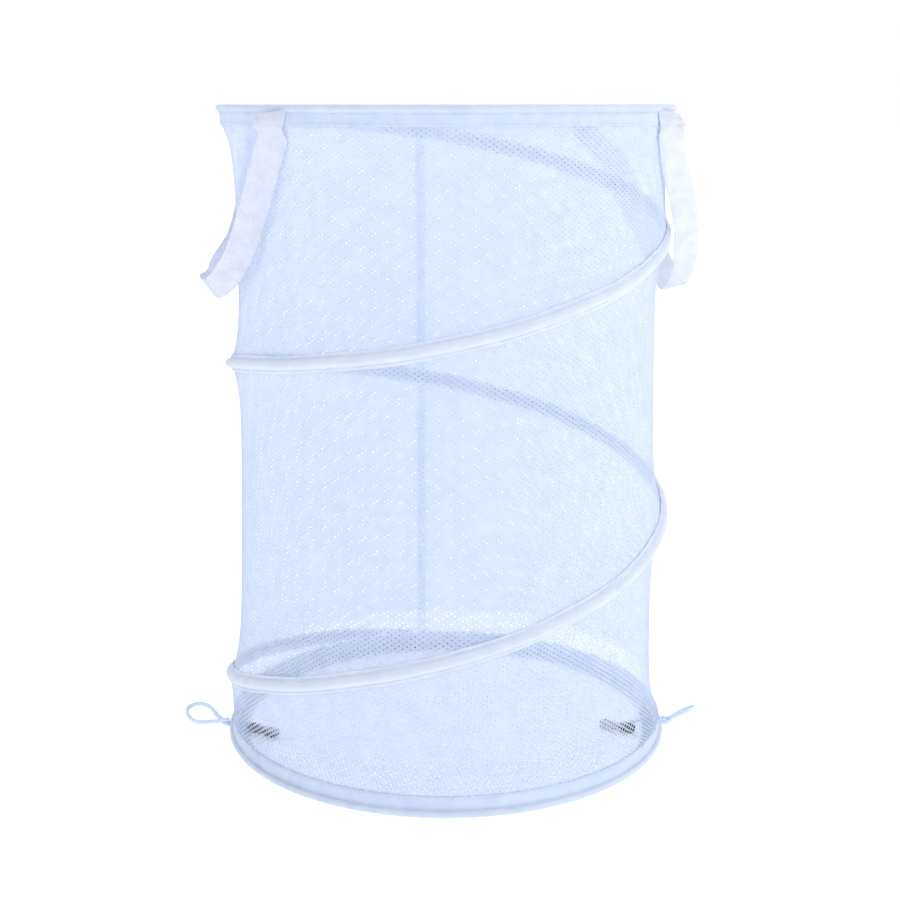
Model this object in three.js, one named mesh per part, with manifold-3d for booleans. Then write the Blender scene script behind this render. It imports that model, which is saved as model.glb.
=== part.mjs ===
// A pop up laundry hamper: a round mesh tube held open by a sprung wire spiral between two wire hoops.
// Millimetres, +Z up, origin on the floor at the middle of the base. The handles lie on the X axis.
import * as THREE from "three";
import { mergeVertices } from "three/addons/utils/BufferGeometryUtils.js";
import Module from "manifold-3d";

const wasm = await Module();
wasm.setup();

// Driving dimensions of the whole hamper
const hamperHeight = 600;
const hoopRadius = 208;
const wireDiameter = 2.8;
const clearance = 0.3;
const stepsPerTurn = 48;
const cutOverrun = 60;

// Tape that binds the two hoops
const bandHeight = 18;
const bindingThickness = 0.6;
const bindingTubeRadius = 3.2;
const bindingArcStep = 36;

// Crimped sleeve that joins the two ends of a hoop wire
const ferruleLength = 20;
const ferruleWall = 0.5;
const ferruleAzimuth = 93.75;
const wireEndGap = 0.6;
const wireSides = 6;

// Mesh fabric of the wall and of the floor
const meshThickness = 0.6;
const floorThickness = 1;
const wallRowsPerTurn = 11;
const wallStraightRun = 28;
const openingMargin = 5;
const openingSpacingSteps = 5;
const openingLeanSteps = 3;
const waistDraw = 7;
const fullDrawSpan = 150;

// Spiral wire: heights at each quarter turn, from the rim down, as shares of the hamper's height
const spiralStartAzimuth = 169.5;
const spiralHeightShares = [1, 0.948, 0.815, 0.675, 0.598, 0.507, 0.377, 0.23, 0.093, 0.013];
const quartersPerTurn = 4;

// Tape that holds the spiral wire against the mesh
const casingWidth = 15.6;
const casingThickness = 0.9;
const ridgeWidth = 7.8;
const ridgeArcSteps = 6;

// Tape inside the wall over its one upright seam, and round the edge of the floor
const seamAzimuth = 86.25;
const seamTapeWidth = 12;
const seamTapeThickness = 0.6;
const seamTapeGap = 0.9;
const seamTapeSteps = 26;
const floorTapeWidth = 12;
const floorTapeThickness = 0.7;

// Webbing handles
const webbingWidth = 25.4;
const webbingThickness = 1.5;
const sewnEndAngle = 37.5;
const ribbonSteps = 44;
const leftHandleReach = 14.5;
const leftHandleDrop = 146;
const leftFrontTwistLength = 27;
const leftRearFlatLength = 105;
const leftRearTwistLength = 90;
const rightHandleReach = 17.2;
const rightHandleDrop = 157;
const rightFrontTwistLength = 15.4;
const rightRearTwistLength = 46;
const handles = [
  {
    side: "left", sign: -1, bottomReach: leftHandleReach, drop: leftHandleDrop, bottomTilt: 56,
    reachPower: 1.5, dropPower: 3, firstTwistShare: 0.4,
    frontTwist: leftFrontTwistLength, rearFlat: leftRearFlatLength, rearTwist: leftRearTwistLength,
  },
  {
    side: "right", sign: 1, bottomReach: rightHandleReach, drop: rightHandleDrop, bottomTilt: 12,
    reachPower: 2.4, dropPower: 1.5, firstTwistShare: 0.5,
    frontTwist: rightFrontTwistLength, rearFlat: 0, rearTwist: rightRearTwistLength,
  },
];
const bottomShare = 0.45;
const squareShare = 0.97;
const casingEaseShare = 1.5;

// Elastic closure loops, lying outside the base
const loopCordDiameter = 4.2;
const loopCordSides = 8;
const loopCordSteps = 36;
const loopRootHeight = 4.8;
const loopRootRun = 5;
const loops = [
  { side: "left", azimuth: 172.5, reach: 44, drift: -19, rise: 8, roll: -27 },
  { side: "right", azimuth: -14.2, reach: 34, drift: 17, rise: 8, roll: -26 },
];

// Half of a closure loop, from its root to the middle of its eye: how far out, and how far to the side
const loopOutShares = [0, 0.13, 0.26, 0.37, 0.5, 0.64, 0.79, 0.92, 0.985];
const loopSideSpans = [2.3, 2.3, 2.7, 4.8, 8.2, 10.6, 10.2, 6.8, 2.9];

// Toggles that the loops hook on, lying on the floor inside
const toggleLength = 36;
const toggleRadius = 5;
const toggleWaistRadius = 3.2;
const toggleWaistLength = 7;
const toggleEndRadius = 3.6;
const toggleSides = 12;
const leftToggleInset = 28.5;
const rightToggleInset = 40.1;
const toggles = [
  { side: "left", azimuth: 181, inset: leftToggleInset, turn: -42.5 },
  { side: "right", azimuth: -21.5, inset: rightToggleInset, turn: -33.8 },
];

// Cords of the toggles, from the base binding along the floor to the toggle's waist
const toggleCordDiameter = 3;
const toggleCordSides = 8;
const toggleCordSteps = 22;
const toggleCordPoints = {
  left: [
    [-203.2, 17.6, 9], [-199.6, 17.6, 8.4], [-196, 17.6, 7], [-191, 17.4, 5], [-186, 16.2, 4],
    [-181, 13.6, 3.1], [-176.5, 10.3, 3.1], [-173.2, 6.8, 3.5], [-172.4, 3.9, 4.6], [-174.2, 1.8, 5.8],
    [-177.1, -0.5, 6.3],
  ],
  right: [
    [197.4, -51.1, 9], [193.9, -50.2, 8.6], [190.4, -49.3, 7.2], [186.2, -48.1, 5.2], [181.8, -47.2, 4],
    [177, -46.6, 3.1], [172.4, -46.6, 3.1], [168, -47.6, 3.2], [164.2, -49.4, 3.8], [161.6, -52, 4.9],
    [160, -55.2, 5.9], [158.2, -58.5, 6.3],
  ],
};

// Colours and finishes
const finishes = {
  fabric: { color: 0xdde5f4, roughness: 0.9, metalness: 0 },
  tape: { color: 0xe6edfb, roughness: 0.8, metalness: 0 },
  webbing: { color: 0xe3e9f6, roughness: 0.75, metalness: 0 },
  elastic: { color: 0xdbe5fa, roughness: 0.7, metalness: 0 },
  steel: { color: 0x9a9da3, roughness: 0.35, metalness: 1 },
  blackPlastic: { color: 0x17181c, roughness: 0.4, metalness: 0 },
};

// Sizes that follow from the ones above
const wireRadius = wireDiameter / 2;
const ferruleInnerRadius = wireRadius + clearance;
const ferruleOuterRadius = ferruleInnerRadius + ferruleWall;
const bindingCavityRadius = bindingTubeRadius - bindingThickness;
const bindingFlatReach = bindingTubeRadius * Math.cos(THREE.MathUtils.degToRad(bindingArcStep / 2));
const rimWireHeight = hamperHeight - bindingFlatReach;
const baseWireHeight = bindingFlatReach;
const rimBandEdge = hamperHeight - bandHeight;
const wallTop = rimWireHeight - bindingTubeRadius;
const wallBottom = baseWireHeight + bindingTubeRadius;
const wallOutRadius = hoopRadius - wireRadius - clearance - meshThickness / 2;
const bindingLegReach = meshThickness / 2 + clearance + bindingThickness;
const bandOuterRadius = wallOutRadius + bindingLegReach;
const bandInnerRadius = wallOutRadius - bindingLegReach;
const casingInnerRadius = wallOutRadius + meshThickness / 2 + clearance;
const ridgeCavityRadius = wireRadius + clearance;
const ridgeOuterRadius = hoopRadius + ridgeCavityRadius + casingThickness;
const lastQuarter = spiralHeightShares.length - 1;
const spiralPitch = (hamperHeight * (spiralHeightShares[0] - spiralHeightShares[lastQuarter])
  * quartersPerTurn) / lastQuarter;
const azimuthStep = 360 / stepsPerTurn;
const floorTop = floorThickness;
const toggleAxisHeight = floorTop + clearance + toggleRadius;

const radians = THREE.MathUtils.degToRad;
const lerp = THREE.MathUtils.lerp;
const smooth = THREE.MathUtils.smoothstep;

// A point at an azimuth in degrees, a radius and a height
function around(azimuth, radius, height) {
  return new THREE.Vector3(radius * Math.cos(radians(azimuth)), radius * Math.sin(radians(azimuth)), height);
}

// Unit vectors away from the hamper's axis, and round it
function outward(azimuth) {
  return new THREE.Vector3(Math.cos(radians(azimuth)), Math.sin(radians(azimuth)), 0);
}

function sideways(azimuth) {
  return new THREE.Vector3(-Math.sin(radians(azimuth)), Math.cos(radians(azimuth)), 0);
}

// One closed body from points and triangles, with shared corners merged and its faces pointing out
function closedBody(positions, triangles) {
  const geometry = new THREE.BufferGeometry();
  geometry.setAttribute("position", new THREE.Float32BufferAttribute(positions, 3));
  geometry.setIndex(triangles);
  return facingOut(geometry);
}

function facingOut(source) {
  source.deleteAttribute("normal");
  source.deleteAttribute("uv");
  const geometry = mergeVertices(source);
  const index = geometry.getIndex().array;
  const corner = [0, 1, 2].map(() => new THREE.Vector3());
  let volume = 0;
  for (let i = 0; i < index.length; i += 3) {
    corner.forEach((point, j) => point.fromBufferAttribute(geometry.getAttribute("position"), index[i + j]));
    volume += corner[0].dot(corner[1].cross(corner[2]));
  }
  if (volume < 0) {
    for (let i = 0; i < index.length; i += 3) {
      [index[i], index[i + 1]] = [index[i + 1], index[i]];
    }
  }
  return geometry;
}

// Rings of points with the same flat section, skinned in a run with two flat ends
function skin(rings, section) {
  const across = section.length;
  const positions = rings.flatMap((ring) => ring.flatMap((point) => point.toArray()));
  const triangles = [];
  for (let i = 0; i + 1 < rings.length; i += 1) {
    for (let j = 0; j < across; j += 1) {
      const here = i * across + j;
      const next = i * across + (j + 1) % across;
      triangles.push(here, next, next + across, here, next + across, here + across);
    }
  }
  const last = (rings.length - 1) * across;
  THREE.ShapeUtils.triangulateShape(section, []).forEach(([a, b, c]) => {
    triangles.push(a, c, b, last + a, last + b, last + c);
  });
  return closedBody(positions, triangles);
}

// A closed outline of radii and heights, turned round the hamper's axis
function turned(outline, steps = stepsPerTurn) {
  const points = [...outline, outline[0]].map(([radius, height]) => new THREE.Vector2(radius, height));
  return facingOut(new THREE.LatheGeometry(points, steps).rotateX(Math.PI / 2));
}

function solidOf(geometry) {
  const vertProperties = new Float32Array(geometry.getAttribute("position").array);
  const triVerts = new Uint32Array(geometry.getIndex().array);
  return new wasm.Manifold(new wasm.Mesh({ numProp: 3, vertProperties, triVerts }));
}

function geometryOf(solid) {
  const { vertProperties, triVerts } = solid.getMesh();
  return closedBody(Array.from(vertProperties), Array.from(triVerts));
}

// What of a body lies between two heights, near the hamper's wall
function keptBetween(geometry, low, high) {
  const inner = hoopRadius - cutOverrun;
  const outer = hoopRadius + cutOverrun;
  const slice = turned([[inner, low], [outer, low], [outer, high], [inner, high]]);
  return geometryOf(solidOf(geometry).intersect(solidOf(slice)));
}

// A regular section for wires
function roundSection(radius, sides) {
  return Array.from({ length: sides }, (_, i) => {
    const angle = (2 * Math.PI * i) / sides;
    return new THREE.Vector2(radius * Math.cos(angle), radius * Math.sin(angle));
  });
}

// A tube through a list of points, with flat ends
function cord(points, diameter, sides, steps) {
  const path = new THREE.CatmullRomCurve3(points);
  const shape = new THREE.Shape(roundSection(diameter / 2, sides));
  return facingOut(new THREE.ExtrudeGeometry(shape, { steps, extrudePath: path, curveSegments: 1 }));
}

// Height of the spiral wire after a number of turns from its start at the rim
function spiralHeight(turn) {
  const place = turn * quartersPerTurn;
  const slope = spiralPitch / quartersPerTurn;
  const heightOf = (quarter) => {
    const inside = THREE.MathUtils.clamp(quarter, 0, lastQuarter);
    return hamperHeight * spiralHeightShares[inside] - slope * (quarter - inside);
  };
  const quarter = Math.floor(place);
  const [before, start, end, after] = [-1, 0, 1, 2].map((step) => heightOf(quarter + step));
  const part = place - quarter;
  const startSlope = (end - before) / 2;
  const endSlope = (after - start) / 2;
  const bend = 2 * (start - end) + startSlope + endSlope;
  const rise = 3 * (end - start) - 2 * startSlope - endSlope;
  return start + part * (startSlope + part * (rise + part * bend));
}

function turnAt(azimuth) {
  return (spiralStartAzimuth - azimuth) / 360;
}

// Middle radius of the mesh wall: it is held out by the hoops and the spiral, and drawn in between them
function wallRadius(azimuth, height) {
  if (height >= rimBandEdge - wallStraightRun || height <= bandHeight + wallStraightRun) {
    return wallOutRadius;
  }
  const turn = THREE.MathUtils.euclideanModulo(turnAt(azimuth), 1);
  let above = rimBandEdge - wallStraightRun;
  let below = bandHeight + wallStraightRun;
  for (let winding = turn; winding * quartersPerTurn <= lastQuarter; winding += 1) {
    const support = spiralHeight(winding);
    if (support >= height) {
      above = Math.min(above, support);
    } else {
      below = Math.max(below, support);
    }
  }
  const share = (above - height) / (above - below);
  const draw = waistDraw * Math.min((above - below) / fullDrawSpan, 1);
  return wallOutRadius - 4 * draw * share * (1 - share);
}

// Radius of a flat-sided ring at an azimuth, for a ring whose corners have the given radius
function facetRadius(cornerRadius, azimuth) {
  const fromCorner = Math.abs(THREE.MathUtils.euclideanModulo(azimuth + azimuthStep / 2, azimuthStep)
    - azimuthStep / 2);
  const half = azimuthStep / 2;
  return (cornerRadius * Math.cos(radians(half))) / Math.cos(radians(half - fromCorner));
}

// A hoop of wire, open where its two ends meet in the middle of one straight step
function hoopWire(height) {
  const halfStep = azimuthStep / 2;
  const chordRadius = hoopRadius * Math.cos(radians(halfStep));
  const endTurn = THREE.MathUtils.radToDeg(wireEndGap / 2 / chordRadius);
  const azimuths = Array.from({ length: stepsPerTurn }, (_, i) => ferruleAzimuth + halfStep + i * azimuthStep);
  const corners = azimuths.map((azimuth) => ({ azimuth, radius: hoopRadius }));
  const path = [
    { azimuth: ferruleAzimuth + endTurn, radius: chordRadius },
    ...corners,
    { azimuth: ferruleAzimuth - endTurn, radius: chordRadius },
  ];
  const section = roundSection(wireRadius, wireSides);
  return skin(path.map(({ azimuth, radius }) => section.map(({ x, y }) => (
    around(azimuth, radius + x, height + y)
  ))), section);
}

// The sleeve crimped over the two ends of a hoop wire
function hoopFerrule(height) {
  const half = ferruleLength / 2;
  const outline = [
    [ferruleInnerRadius, -half], [ferruleOuterRadius, -half],
    [ferruleOuterRadius, half], [ferruleInnerRadius, half], [ferruleInnerRadius, -half],
  ];
  const points = outline.map(([radius, along]) => new THREE.Vector2(radius, along));
  const sleeve = facingOut(new THREE.LatheGeometry(points, 2 * wireSides));
  const chordRadius = hoopRadius * Math.cos(radians(azimuthStep / 2));
  sleeve.rotateZ(radians(ferruleAzimuth));
  const centre = around(ferruleAzimuth, chordRadius, height);
  return sleeve.translate(centre.x, centre.y, centre.z);
}

// Points of an arc over the wire, from the binding's inner leg round to a reach on the outer side
function bindingArc(radius, reach) {
  const end = -90 + THREE.MathUtils.radToDeg(Math.asin(reach / radius));
  const angles = [];
  for (let angle = 180; angle > end; angle -= bindingArcStep) {
    angles.push(angle);
  }
  return [...angles, end].map((angle) => [
    radius * Math.cos(radians(angle)),
    radius * Math.sin(radians(angle)),
  ]);
}

// Tape folded over a hoop wire: a tube round the wire and two legs that the mesh is sewn between.
// Side is 1 at the rim, where the legs hang down, and -1 at the base, where they stand up.
function hoopBinding(wireHeight, side) {
  const legEnd = bindingFlatReach - bandHeight;
  const inside = bandInnerRadius - hoopRadius;
  const outside = bandOuterRadius - hoopRadius;
  const outer = bindingArc(bindingTubeRadius, outside);
  const inner = bindingArc(bindingCavityRadius, outside - bindingThickness).reverse();
  const outline = [
    [inside, legEnd], ...outer, [outside, legEnd],
    [outside - bindingThickness, legEnd], ...inner, [inside + bindingThickness, legEnd],
  ];
  return turned(outline.map(([across, along]) => [hoopRadius + across, wireHeight + side * along]));
}

// A place on the strip that the wall is wound from: steps run down the spiral, and rows run from one
// winding to the next
function stripPlace(step, row) {
  const firstStep = Math.ceil((spiralStartAzimuth + 360) / azimuthStep);
  const azimuth = (firstStep - step) * azimuthStep;
  const turn = turnAt(azimuth);
  return { azimuth, height: lerp(spiralHeight(turn), spiralHeight(turn + 1), row / wallRowsPerTurn) };
}

// Whether a lozenge opening of the wall has its middle at a place: never on a winding, on the upright
// seam or in reach of the bindings
function isOpening(step, row) {
  const onWinding = row % wallRowsPerTurn === 0;
  const inLattice = (step + openingLeanSteps * row) % openingSpacingSteps === 0;
  if (onWinding || !inLattice) {
    return false;
  }
  const tips = [stripPlace(step, row - 1), stripPlace(step, row + 1)].map(({ height }) => height);
  const highest = Math.max(...tips) + openingMargin;
  const lowest = Math.min(...tips) - openingMargin;
  const { azimuth } = stripPlace(step, row);
  const fromSeam = Math.abs(THREE.MathUtils.euclideanModulo(azimuth - seamAzimuth + 180, 360) - 180);
  return highest < rimBandEdge && lowest > bandHeight && fromSeam > azimuthStep;
}

// The mesh wall: a strip as wide as one turn of the spiral, wound down the hamper and joined edge to
// edge, so that its rows follow the spiral, then cut level at the two bindings. Its openings stand for
// the holes of the mesh, eight times as large.
function meshWall() {
  const steps = Math.ceil((lastQuarter / quartersPerTurn + 1) * stepsPerTurn) + 1;
  const half = meshThickness / 2;
  const positions = [];
  const places = new Map();
  const corner = (step, row) => {
    const joined = row === wallRowsPerTurn && step + stepsPerTurn <= steps;
    const key = joined ? `${step + stepsPerTurn},0` : `${step},${row}`;
    if (!places.has(key)) {
      const { azimuth, height } = stripPlace(step, row);
      const onWinding = row % wallRowsPerTurn === 0;
      const radius = onWinding ? wallOutRadius : wallRadius(azimuth, height);
      places.set(key, positions.length / 3);
      positions.push(...around(azimuth, radius + half, height).toArray());
      positions.push(...around(azimuth, radius - half, height).toArray());
    }
    return places.get(key);
  };
  const triangles = [];
  const addFace = (a, b, c, d) => triangles.push(a, b, c, a, c, d);
  const edge = (from, to) => addFace(corner(...to), corner(...from), corner(...from) + 1, corner(...to) + 1);
  const addCell = (ring) => {
    const face = ring.map(([i, j]) => corner(i, j));
    const opening = ring.findIndex(([i, j]) => isOpening(i, j));
    if (opening < 0) {
      addFace(...face);
      addFace(...face.map((place) => place + 1).reverse());
      return;
    }
    const [first, second, third] = [1, 2, 3].map((turn) => (opening + turn) % ring.length);
    triangles.push(face[first], face[second], face[third]);
    triangles.push(face[third] + 1, face[second] + 1, face[first] + 1);
    edge(ring[third], ring[first]);
  };
  for (let step = 0; step < steps; step += 1) {
    for (let row = 0; row < wallRowsPerTurn; row += 1) {
      addCell([[step, row], [step, row + 1], [step + 1, row + 1], [step + 1, row]]);
    }
  }
  for (let row = 0; row < wallRowsPerTurn; row += 1) {
    edge([0, row], [0, row + 1]);
    edge([steps, row + 1], [steps, row]);
  }
  for (let step = 0; step < stepsPerTurn; step += 1) {
    edge([step + 1, 0], [step, 0]);
    edge([steps - step - 1, wallRowsPerTurn], [steps - step, wallRowsPerTurn]);
  }
  return keptBetween(closedBody(positions, triangles), wallBottom, wallTop);
}

// Steps of the spiral, each with its azimuth and height, where a test on the height holds
function spiralSteps(test) {
  const first = Math.floor(spiralStartAzimuth / azimuthStep);
  const count = Math.ceil((lastQuarter / quartersPerTurn) * stepsPerTurn);
  return Array.from({ length: count + 1 }, (_, i) => (first - i) * azimuthStep)
    .map((azimuth) => ({ azimuth, height: spiralHeight(turnAt(azimuth)) }))
    .filter(({ height }) => test(height));
}

// Rings of a flat section carried down the spiral, square to its run: x is outward, y is up
function alongSpiral(steps, section) {
  return steps.map(({ azimuth, height }) => {
    const ahead = spiralHeight(turnAt(azimuth - 1)) - spiralHeight(turnAt(azimuth + 1));
    const run = sideways(azimuth).multiplyScalar(-2 * radians(1) * hoopRadius);
    run.z = ahead;
    const up = new THREE.Vector3().crossVectors(outward(azimuth), run).normalize();
    if (up.z < 0) {
      up.negate();
    }
    return section.map(({ x, y }) => (
      around(azimuth, hoopRadius + x, height).addScaledVector(up, y)
    ));
  });
}

// Smallest clear space between two stretches of the wire that are half a turn or more apart
function leastGapToItself(steps) {
  const points = steps.map(({ azimuth, height }) => around(azimuth, hoopRadius, height));
  let least = Infinity;
  points.forEach((point, i) => points.slice(i + stepsPerTurn / 2).forEach((other) => {
    least = Math.min(least, point.distanceTo(other) - wireDiameter);
  }));
  return least;
}

// The visible spring: one unbroken wire from under the rim to the base
function spiralWire() {
  const margin = wireRadius + clearance;
  const steps = spiralSteps((height) => height < rimBandEdge - margin && height > bandHeight + margin);
  const gap = leastGapToItself(steps);
  console.log(`least gap of the spiral wire to itself: ${gap.toFixed(1)} mm`);
  const section = roundSection(wireRadius, wireSides);
  const rings = alongSpiral(steps, section);
  return skin(straightEnds(rings), section);
}

// Lengthens a run of rings at both ends, straight on, by one wire diameter
function straightEnds(rings) {
  const middle = (ring) => ring.reduce((sum, point) => sum.add(point), new THREE.Vector3())
    .divideScalar(ring.length);
  const beyond = (end, before) => {
    const way = middle(end).sub(middle(before)).setLength(wireDiameter);
    return end.map((point) => point.clone().add(way));
  };
  const count = rings.length;
  return [beyond(rings[0], rings[1]), ...rings, beyond(rings[count - 1], rings[count - 2])];
}

// Tape sewn on the mesh along both of its edges, with a ridge where it passes over the wire
function spiralCasing() {
  const inner = casingInnerRadius - hoopRadius;
  const outer = inner + casingThickness;
  const ridgeHeight = ridgeCavityRadius + casingThickness - outer;
  const half = casingWidth / 2;
  const arc = (step) => Math.PI * (step / ridgeArcSteps - 1 / 2);
  const arcSteps = Array.from({ length: ridgeArcSteps + 1 }, (_, i) => i);
  const ridge = arcSteps.map((step) => new THREE.Vector2(
    outer + ridgeHeight * Math.cos(arc(step)),
    (ridgeWidth / 2) * Math.sin(arc(step)),
  ));
  const cavityReach = Math.PI / ridgeArcSteps;
  const cavity = arcSteps.slice(1, -1).reverse().map((step) => new THREE.Vector2(
    (ridgeCavityRadius / Math.cos(cavityReach / 2)) * Math.cos(arc(step)),
    (ridgeCavityRadius / Math.cos(cavityReach / 2)) * Math.sin(arc(step)),
  ));
  const section = [
    new THREE.Vector2(outer, -half), ...ridge, new THREE.Vector2(outer, half),
    new THREE.Vector2(inner, half), new THREE.Vector2(inner, ridgeCavityRadius),
    ...cavity,
    new THREE.Vector2(inner, -ridgeCavityRadius), new THREE.Vector2(inner, -half),
  ];
  const steps = spiralSteps(() => true);
  const run = skin(alongSpiral(steps, section), section);
  return keptBetween(run, bandHeight + clearance, rimBandEdge - clearance);
}

// Tape over the upright seam, inside the wall, flat on one facet of it
function backSeamTape() {
  const half = seamTapeWidth / 2;
  const section = [
    new THREE.Vector2(0, -half), new THREE.Vector2(0, half),
    new THREE.Vector2(-seamTapeThickness, half), new THREE.Vector2(-seamTapeThickness, -half),
  ];
  const along = sideways(seamAzimuth);
  const faceShare = Math.cos(radians(azimuthStep / 2));
  const rings = Array.from({ length: seamTapeSteps + 1 }, (_, i) => {
    const height = lerp(bandHeight + clearance, rimBandEdge - clearance, i / seamTapeSteps);
    const sides = [-1, 1].map((side) => wallRadius(seamAzimuth + (side * azimuthStep) / 2, height));
    const face = Math.min(...sides) * faceShare - meshThickness / 2 - seamTapeGap;
    return section.map(({ x, y }) => around(seamAzimuth, face + x, height).addScaledVector(along, y));
  });
  return skin(rings, section);
}

// Round mesh floor
function floorMesh() {
  const radius = hoopRadius - bindingTubeRadius - clearance;
  const disc = new THREE.CylinderGeometry(radius, radius, floorThickness, stepsPerTurn);
  return facingOut(disc.rotateX(Math.PI / 2).translate(0, 0, floorThickness / 2));
}

// Flat tape on the edge of the floor
function floorSeamTape() {
  const outer = hoopRadius - bindingTubeRadius - clearance;
  const inner = outer - floorTapeWidth;
  const low = floorTop + clearance;
  const high = low + floorTapeThickness;
  return turned([[inner, low], [outer, low], [outer, high], [inner, high]]);
}

// Sewn end of a handle: one thickness of webbing on the outside of the rim's tape
function handleEnd(azimuth) {
  const turn = THREE.MathUtils.radToDeg(webbingWidth / 2 / bandOuterRadius);
  const near = bandOuterRadius + clearance;
  const far = near + webbingThickness;
  const low = rimBandEdge + clearance;
  const high = rimWireHeight - Math.sqrt(bindingTubeRadius ** 2 - (near - hoopRadius) ** 2) - clearance;
  const section = [[near, low], [far, low], [far, high], [near, high]];
  const flat = section.map(([radius, height]) => new THREE.Vector2(radius, height));
  const rings = [-turn, 0, turn].map((side) => section.map(([radius, height]) => (
    around(azimuth + side, facetRadius(radius, azimuth + side), height)
  )));
  return skin(rings, flat);
}

// Middle line of a handle at a share from -1, the front sewn end, to 1, the rear one
function handleMiddle({ bottomReach, drop, reachPower, dropPower }, share) {
  const endRadius = bandOuterRadius + clearance + webbingThickness / 2;
  const endReach = endRadius * Math.cos(radians(sewnEndAngle));
  const endSide = endRadius * Math.sin(radians(sewnEndAngle));
  return new THREE.Vector3(
    lerp(endReach, hoopRadius + bottomReach, 1 - Math.abs(share) ** reachPower),
    endSide * share,
    rimBandEdge - drop * (1 - Math.abs(share) ** dropPower),
  );
}

// A free webbing handle: it leaves the rim, twists edge on and hangs in a loop against the wall
function handleWebbing(handle) {
  const half = webbingWidth / 2;
  const thin = webbingThickness / 2;
  const section = [[-half, -thin], [half, -thin], [half, thin], [-half, thin]];
  const shares = Array.from({ length: ribbonSteps + 1 }, (_, i) => {
    const even = (2 * i) / ribbonSteps - 1;
    return Math.sin((Math.PI / 2) * even);
  });
  const rings = shares.map((share) => {
    const middle = handleMiddle(handle, share);
    const step = 1 / ribbonSteps;
    const run = handleMiddle(handle, share + step).sub(handleMiddle(handle, share - step)).normalize();
    const upright = new THREE.Vector3(0, 0, Math.sign(share));
    run.lerp(upright, smooth(Math.abs(share), squareShare, 1)).normalize();
    const width = webbingWidthWay(handle, share, run);
    leanOnWall(handle, middle, width);
    const through = new THREE.Vector3().crossVectors(run, width);
    return section.map(([across, thick]) => {
      const point = middle.clone().addScaledVector(width, across).addScaledVector(through, thick);
      return point.multiply(new THREE.Vector3(handle.sign, 1, 1));
    });
  });
  return skin(rings, section.map(([x, y]) => new THREE.Vector2(x, y)));
}

// Way that the webbing's width points: along the rim at its sewn ends, outward lower down
function webbingWidthWay(handle, share, run) {
  const end = handleMiddle(handle, Math.sign(share));
  const fromEnd = end.distanceTo(handleMiddle(handle, share));
  const sewn = radians(sewnEndAngle);
  const atEnd = new THREE.Vector3(Math.sin(sewn), -Math.sign(share) * Math.cos(sewn), 0);
  const hang = Math.atan2(hoopRadius + handle.bottomReach - end.x, handle.drop);
  const tilt = lerp(radians(handle.bottomTilt), hang, smooth(Math.abs(share), 0, bottomShare));
  const below = new THREE.Vector3(Math.cos(tilt), 0, Math.sin(tilt));
  const twist = share < 0
    ? lerp(handle.firstTwistShare, 1, smooth(fromEnd, 0, handle.frontTwist))
    : smooth(fromEnd, handle.rearFlat, handle.rearFlat + handle.rearTwist);
  const width = atEnd.lerp(below, twist);
  return width.addScaledVector(run, -width.dot(run)).normalize();
}

// Moves a point of the middle line out until the webbing clears the wall, and its casing where that is near
function leanOnWall(handle, middle, width) {
  const inner = middle.clone().addScaledVector(width, -webbingWidth / 2);
  const reach = Math.min(Math.hypot(inner.x, inner.y), Math.hypot(middle.x, middle.y));
  const azimuth = THREE.MathUtils.radToDeg(Math.atan2(inner.y, handle.sign * inner.x));
  const casing = spiralHeight(THREE.MathUtils.euclideanModulo(turnAt(azimuth), 1));
  const nearCasing = 1 - smooth(Math.abs(inner.z - casing), casingWidth / 2, casingWidth * casingEaseShare);
  const belowBand = smooth(rimBandEdge - inner.z, 0, webbingWidth / 2);
  const cloth = lerp(bandOuterRadius, wallRadius(azimuth, inner.z) + meshThickness, belowBand);
  const wall = lerp(cloth, ridgeOuterRadius, nearCasing * smooth(rimBandEdge - middle.z, 0, webbingWidth));
  const short = wall + clearance + webbingThickness / 2 - reach;
  if (short > 0) {
    middle.x += (short * reach) / inner.x;
  }
}

// An elastic loop: two strands, one above the other where they leave the base binding, that turn
// level and open into an eye
function closureLoop({ azimuth, reach, drift, rise, roll }) {
  const upward = new THREE.Vector3(0, 0, 1);
  const start = around(azimuth, hoopRadius + bindingTubeRadius + clearance, loopRootHeight);
  const way = outward(azimuth).multiplyScalar(reach).addScaledVector(sideways(azimuth), drift);
  way.addScaledVector(upward, rise).normalize();
  const across = new THREE.Vector3().crossVectors(upward, way).normalize();
  across.applyAxisAngle(way, radians(roll));
  const length = reach - loopCordDiameter / 2;
  const half = loopOutShares.map((share, i) => [share * length, loopSideSpans[i]]);
  const whole = [...half, [length, 0], ...half.map(([out, side]) => [out, -side]).reverse()];
  const points = whole.map(([out, side]) => {
    const bent = Math.max(out - loopRootRun, 0) / (reach - loopRootRun);
    const axis = upward.clone().lerp(across, smooth(out, 0, length / 3)).normalize();
    return start.clone().addScaledVector(outward(azimuth), out)
      .addScaledVector(sideways(azimuth), drift * bent)
      .addScaledVector(upward, rise * bent)
      .addScaledVector(axis, side);
  });
  return cord(points, loopCordDiameter, loopCordSides, loopCordSteps);
}

// A barrel with a waist for its cord, lying on the floor
function toggleBarrel({ azimuth, inset, turn }) {
  const half = toggleLength / 2;
  const waist = toggleWaistLength / 2;
  const round = toggleRadius - toggleEndRadius;
  const side = [
    [0, -half], [toggleEndRadius, -half], [toggleRadius, -half + 2 * round],
    [toggleRadius, -waist - round], [toggleWaistRadius, -waist + round / 2],
  ];
  const mirrored = side.map(([reach, along]) => [reach, -along]).reverse();
  const points = [...side, ...mirrored].map(([reach, along]) => new THREE.Vector2(reach, along));
  const barrel = facingOut(new THREE.LatheGeometry(points, toggleSides));
  const centre = around(azimuth, hoopRadius - inset, toggleAxisHeight);
  return barrel.rotateZ(radians(turn - 90)).translate(centre.x, centre.y, centre.z);
}

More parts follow.
